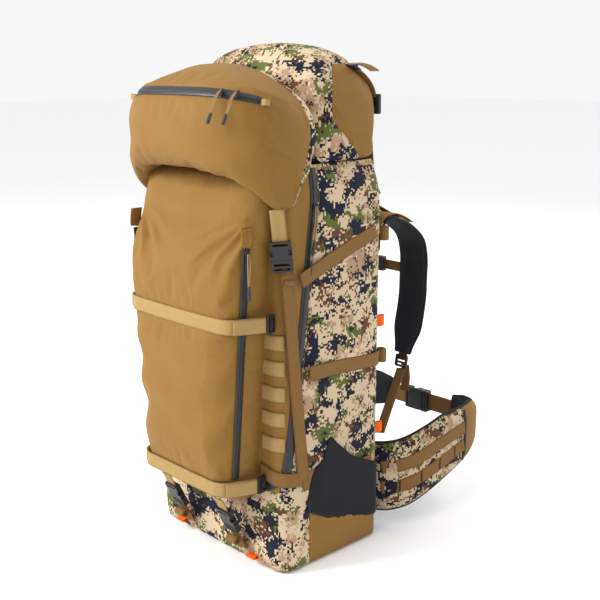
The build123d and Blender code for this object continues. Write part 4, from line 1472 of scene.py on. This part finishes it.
def buildPocketZips():
    for side, label in ((1, "Right"), (-1, "Left")):
        low, high = pocketLow.z + 0.042, pocketHigh.z - 0.046
        y = pocket["face"] + 0.029
        lean = (pocket["topHalf"] - pocket["lowHalf"]) / (pocketHigh.z - pocketLow.z)

        def run(out, low=low, high=high, y=y, side=side):
            return [(side * (pocketHalf(z) + out), y, z) for z in (low, (low + high) / 2, high)]

        strap("pocketZipTape" + label, run(0.0022), bag["zipWide"], (0, 1, 0), "pack",
              slotOf["pocket_zips"], "zip",
              ["pocket_zips"] if side > 0 else [], thickness=0.0010)
        strap("pocketZipTeeth" + label, run(0.0030), 0.005, (0, 1, 0), "pack", slotOf["pocket_zips"], "zip",
              thickness=0.0016, cell=0.002)
        z = pocketHigh.z - 0.056
        node = "pocket_slider_" + label.lower()
        place = seat((side * (pocketHalf(z) + 0.0036), y, z), (side, 0, 0), (-side * lean, 0, -1))
        zipSlider("pocketSlider" + label, node, place, node, 0.074)
        garage = [(side * (pocketHalf(z) + 0.0032), y - 0.002, z + 0.012),
                  (side * (pocketHalf(z) + 0.0056), y, z + 0.026),
                  (side * (pocketHalf(z) + 0.0020), y, z + 0.044)]
        strap("zipGarage" + label, garage, 0.022, (0, 1, 0), "pack", slotOf["front_pocket"], "coyote",
              thickness=0.002)


buildMainZips()
print("main zips and sliders set")
buildLadder()
buildLowSideStraps()
buildSideStraps()
buildFrontStraps()
buildLidStraps()
buildLowerStraps()
buildTabs()
buildStretchPockets()
buildPocketZips()
buildLidZip()
buildLidRear()
print("webbing, tabs and side pockets sewn")

# harness and hip belt
yokeLow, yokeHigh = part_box("yoke")
lumbarLow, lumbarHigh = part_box("lumbar_pad")
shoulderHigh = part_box("shoulder_strap_right")[1]
harness = {
    "strapThick": 0.012,
    "narrow": 0.020,
    "wingThick": 0.017,
    "wingRows": (0.36, 0.66),
    "wingEnd": 0.60,
}


# crowned pad, flat where it rests, with sewn channels across its face
def padCushion(name, low, high, crown, rounding, node, finish, channels=()):
    middle = (low + high) / 2
    half = (high - low) / 2

    bm = bmesh.new()
    bmesh.ops.create_grid(bm, x_segments=44, y_segments=34, size=1.0)
    uv = bm.loops.layers.uv.new("laid")
    for face in bm.faces:
        for loop in face.loops:
            loop[uv].uv = (loop.vert.co.x * half.x, loop.vert.co.y * half.z)
    for vert in bm.verts:
        a, b = vert.co.x, vert.co.y
        reach = max(abs(a), abs(b))
        if reach > 0:
            bulge = (abs(a) ** rounding + abs(b) ** rounding) ** (1 / rounding)
            a, b = a * reach / bulge, b * reach / bulge
        x, z = a * half.x, b * half.z
        fullness = 1 - reach ** 5
        groove = sum(math.exp(-((z - c * half.z) / 0.006) ** 2) for c in channels)
        y = low.y + (2 * half.y) * (0.28 + 0.72 * fullness ** 0.5) - 0.0045 * groove * fullness
        y += crown * (1 - reach ** 2) + 0.0012 * wrinkle(Vector((x, 0, z)), (14, 1, 14), 4.0) * fullness
        vert.co = Vector((middle.x + x, y, middle.z + z))
    back = bm.copy()
    for vert in back.verts:
        reach = max(abs((vert.co.x - middle.x) / half.x), abs((vert.co.z - middle.z) / half.z))
        vert.co.y = low.y + (vert.co.y - low.y) * max(0.0, (reach - 0.86) / 0.14) ** 2 * 0.98
    spare = bpy.data.meshes.new("spare")
    back.to_mesh(spare)
    back.free()
    bm.from_mesh(spare)
    bpy.data.meshes.remove(spare)
    bmesh.ops.remove_doubles(bm, verts=bm.verts, dist=0.0009)
    bmesh.ops.recalc_face_normals(bm, faces=bm.faces)
    piece = makePiece(name, bm, "pack", slotOf[node], finish, [node])
    return piece


def shoulderLine():
    root = yokeHigh.y + harness["strapThick"] / 2
    top = yokeHigh.z
    reach = shoulderHigh.y - harness["strapThick"] / 2
    return [(root, top - 0.062), (root + 0.001, top - 0.030), (root + 0.016, top - 0.008),
            (root + 0.044, top - 0.0065),
            (reach - 0.046, top - 0.024), (reach - 0.012, top - 0.052), (reach, top - 0.090),
            (reach, top - 0.130),
            (reach - 0.001, top - 0.170), (reach - 0.010, top - 0.220), (reach - 0.026, top - 0.280)]


def buildShoulders():
    line = shoulderLine()
    thick = harness["strapThick"]
    for side, label in ((1, "Right"), (-1, "Left")):
        path = smoothPath([(side * 0.105, y, z) for y, z in line])

        def section(u, w, face, grow, path=path):
            ahead = (path(min(1, w + 0.01)) - path(max(0, w - 0.01))).normalized()
            normal = Vector((0, -ahead.z, ahead.y))
            half = 0.032 * (0.80 + 0.20 * ease(w, 0.0, 0.25)) * (1 - 0.42 * ease(w, 0.86, 1.0))
            a = 2 * u - 1
            domed = max(0.0, 1 - abs(a) ** 4) ** 0.5
            end = max(0.0, 1 - abs(2 * w - 1) ** 60) ** 0.5
            return path(w) + Vector((a * half, 0, 0)) + normal * face * (thick / 2 * domed * end + grow)

        node = "shoulder_strap_" + label.lower()
        for name, face, finish in (("Outer", 1, "camo"), ("Inner", -1, "mesh")):
            def point(u, w, lift, face=face, section=section):
                groove = 0.0014 * math.exp(-((abs(2 * u - 1) - 0.74) / 0.05) ** 2)
                return section(u, w, face, (lift - groove) * max(0.0, 1 - abs(2 * u - 1) ** 6))

            bm = clothGrid(point, (0.064, path.total), 0.005, creases=0.0011, seed=3.0 * face, soft=0.02,
                           flipped=face < 0)
            bmesh.ops.recalc_face_normals(bm, faces=bm.faces)
            piece = makePiece("shoulder" + name + label, bm, "pack", slotOf[node], finish,
                              [node] if face > 0 else [])
            thicken(piece, 0.0014, 0.0)
        for edge in (0.0, 1.0):
            rim = [section(edge, k / 30, 1, 0.0) for k in range(31)]
            tube("shoulderRim%s%d" % (label, edge), rim, 0.0022, "pack", slotOf[node], "webBlack",
                 cell=0.004)
        cap = [section(0.5, w, 1, 0.0026) for w in (0.02, 0.08, 0.14, 0.20, 0.26, 0.32)]
        strap("shoulderCap" + label, cap, 0.060, (1, 0, 0), "pack", slotOf[node], "coyote", thickness=0.002)


def buildHarnessWebbing():
    slot = slotOf["harness_webbing"]
    narrow = harness["narrow"]
    for side, label in ((1, "Right"), (-1, "Left")):
        lifter = [(side * 0.099, 0.2487, 0.574), (side * 0.092, 0.196, 0.602),
                  (side * 0.085, 0.1427, 0.630)]
        strap("loadLifter" + label, lifter, narrow, (1, 0, 0), "pack", slot, "webCoyote",
              ["harness_webbing"] if side > 0 else [])
        tail = [(side * 0.0845, 0.150, 0.645), (side * 0.0845, 0.168, 0.652), (side * 0.0845, 0.186, 0.643),
                (side * 0.0845, 0.196, 0.628)]
        strap("lifterTail" + label, tail, narrow, (1, 0, 0), "pack", slot, "webTan")
        lower = [(side * 0.108, 0.2507, 0.283), (side * 0.125, 0.2017, 0.2335),
                 (side * 0.142, 0.1527, 0.184)]
        strap("lowerAdjuster" + label, lower, narrow, (1, 0, 0), "pack", slot, "webCoyote")
        tail = [(side * 0.108, 0.262, 0.288), (side * 0.109, 0.264, 0.262), (side * 0.111, 0.259, 0.236)]
        strap("adjusterTail" + label, tail, narrow, (1, 0, 0), "pack", slot, "webCoyote")
        root = [(side * 0.105, 0.2600, 0.318), (side * 0.106, 0.2555, 0.302)]
        strap("lockRoot" + label, root, narrow, (1, 0, 0), "pack", slot, "webCoyote", thickness=0.003)
        rail = [(side * 0.105, 0.2896, z) for z in (0.430, 0.472, 0.514)]
        strap("chestRail" + label, rail, 0.009, (1, 0, 0), "pack", slot, "webBlack")
    y, z = 0.2953, 0.472
    for name, x0, x1 in (("chestWebFemale", -0.0926, -0.0275), ("chestWebMale", 0.0165, 0.0926)):
        run = [(x0, y, z), ((x0 + x1) / 2, y + 0.0005, z - 0.0006), (x1, y, z)]
        strap(name, run, 0.0188, (0, 0, 1), "chest_strap", slotOf["chest_webbing"], "webCoyote",
              ["chest_webbing"] if x0 < 0 else [])
    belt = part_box("belt_webbing")
    y, z = (belt[0].y + belt[1].y) / 2, (belt[0].z + belt[1].z) / 2
    for name, x0, x1 in (("beltWebFemale", belt[0].x, -0.0370), ("beltWebMale", 0.0165, belt[1].x)):
        run = [(x0, y, z), ((x0 + x1) / 2, y + 0.0008, z), (x1, y, z)]
        strap(name, run, 0.0368, (0, 0, 1), "pack", slotOf["belt_webbing"], "webCoyote",
              ["belt_webbing"] if x0 < 0 else [])


wingTop = [(0.1107, 0.148), (0.1907, 0.170), (0.2807, 0.198), (0.3807, 0.202), (0.4687, 0.174)]
wingBottom = [(0.1107, 0.014), (0.2107, 0.036), (0.2907, 0.066), (0.3807, 0.094), (0.4687, 0.116)]


def buildWings():
    path = smoothPath([(0.106, 0.1467, 0), (0.148, 0.166, 0), (0.1705, 0.195, 0), (0.1835, 0.250, 0),
                       (0.1862, 0.310, 0), (0.1800, 0.372, 0), (0.1560, 0.416, 0), (0.118, 0.4395, 0),
                       (0.084, 0.4487, 0)])
    thick = harness["wingThick"]

    def wing(u, w, face, grow, side):
        here = path(u)
        ahead = (path(min(1, u + 0.01)) - path(max(0, u - 0.01))).normalized()
        normal = Vector((ahead.y, -ahead.x, 0))
        low, high = alongEdge(wingBottom, here.y), alongEdge(wingTop, here.y)
        pinch = ease(u, 0.90, 1.0)
        low, high = low + pinch * 0.006, high - pinch * 0.006
        z = low + (high - low) * w
        domed = max(0.0, 1 - abs(2 * w - 1) ** 5) ** 0.5
        end = max(0.05, 1 - abs(2 * u - 1) ** 40) ** 0.5
        place = here + normal * face * (thick / 2 * domed * end + grow * domed)
        return Vector((side * place.x, place.y, z))

    for side, label in ((1, "Right"), (-1, "Left")):
        node = "hip_wing_" + label.lower()
        parts = (("Camo", 0.0, harness["wingEnd"], 1, "camo"),
                 ("End", harness["wingEnd"], 0.86, 1, "coyote"),
                 ("Tip", 0.86, 1.0, 1, "camo"), ("Pad", 0.0, 1.0, -1, "mesh"))
        for name, u0, u1, face, finish in parts:
            def point(u, w, lift, u0=u0, u1=u1, face=face, side=side):
                return wing(u0 + (u1 - u0) * u, w, face, lift, side)

            bm = clothGrid(point, (path.total * (u1 - u0), 0.13), 0.0055, puff=0.0022, creases=0.0018,
                           pucker=0.0008,
                           seed=2.0 + u0, soft=0.015)
            bmesh.ops.recalc_face_normals(bm, faces=bm.faces)
            piece = makePiece("wing" + name + label, bm, "pack", slotOf[node], finish,
                              [node] if face < 0 else [])
            thicken(piece, 0.0014, 0.0)
        for edge, name in ((0.0, "Low"), (1.0, "Top")):
            rim = [wing(k / 40, edge, 1, 0.0, side) for k in range(41)]
            tube("wingRim" + name + label, rim, 0.0026, "pack", slotOf[node], "webBlack", cell=0.004)
        seam = [wing(harness["wingEnd"], w, 1, 0.0032, side) for w in (0.03, 0.2, 0.4, 0.6, 0.8, 0.97)]
        tube("wingCord" + label, seam, 0.0022, "pack", slotOf[node], "grip", cell=0.003)
        for row, height in enumerate(harness["wingRows"]):
            run = [wing(u, height, 1, 0.0042, side) for u in (0.10, 0.2, 0.3, 0.4, 0.5,
                                                              harness["wingEnd"] - 0.012)]
            strap("wingRow%d%s" % (row, label), run, trim["tape"], (0, 0, 1), "pack",
                  slotOf["belt_webbing"],
                  "webCoyote")
        for count, u in enumerate((0.18, 0.29, 0.40, 0.51)):
            bar = [wing(u, w, 1, 0.0056, side) for w in (harness["wingRows"][0] - 0.085,
                                                         harness["wingRows"][0] + 0.085)]
            strap("wingTack%d%s" % (count, label), bar, 0.0026, (0, 1, 0), "pack", slotOf["belt_webbing"],
                  "webBlack",
                  thickness=0.0006, cell=0.002)
        tip = [wing(u, 0.5, 1, 0.0030, side) for u in (0.80, 0.87, 0.93, 0.985)]
        strap("wingWebTip" + label, tip, 0.0368, (0, 0, 1), "pack", slotOf["belt_webbing"], "webCoyote")


padCushion("yokePad", yokeLow, yokeHigh, 0.001, 5, "yoke", "mesh", (-0.35, 0.35))
padCushion("lumbarCushion", lumbarLow, lumbarHigh, 0.002, 5, "lumbar_pad", "mesh", (-0.45, 0.0, 0.45))
buildShoulders()
buildHarnessWebbing()
buildWings()
print("harness and hip belt padded")
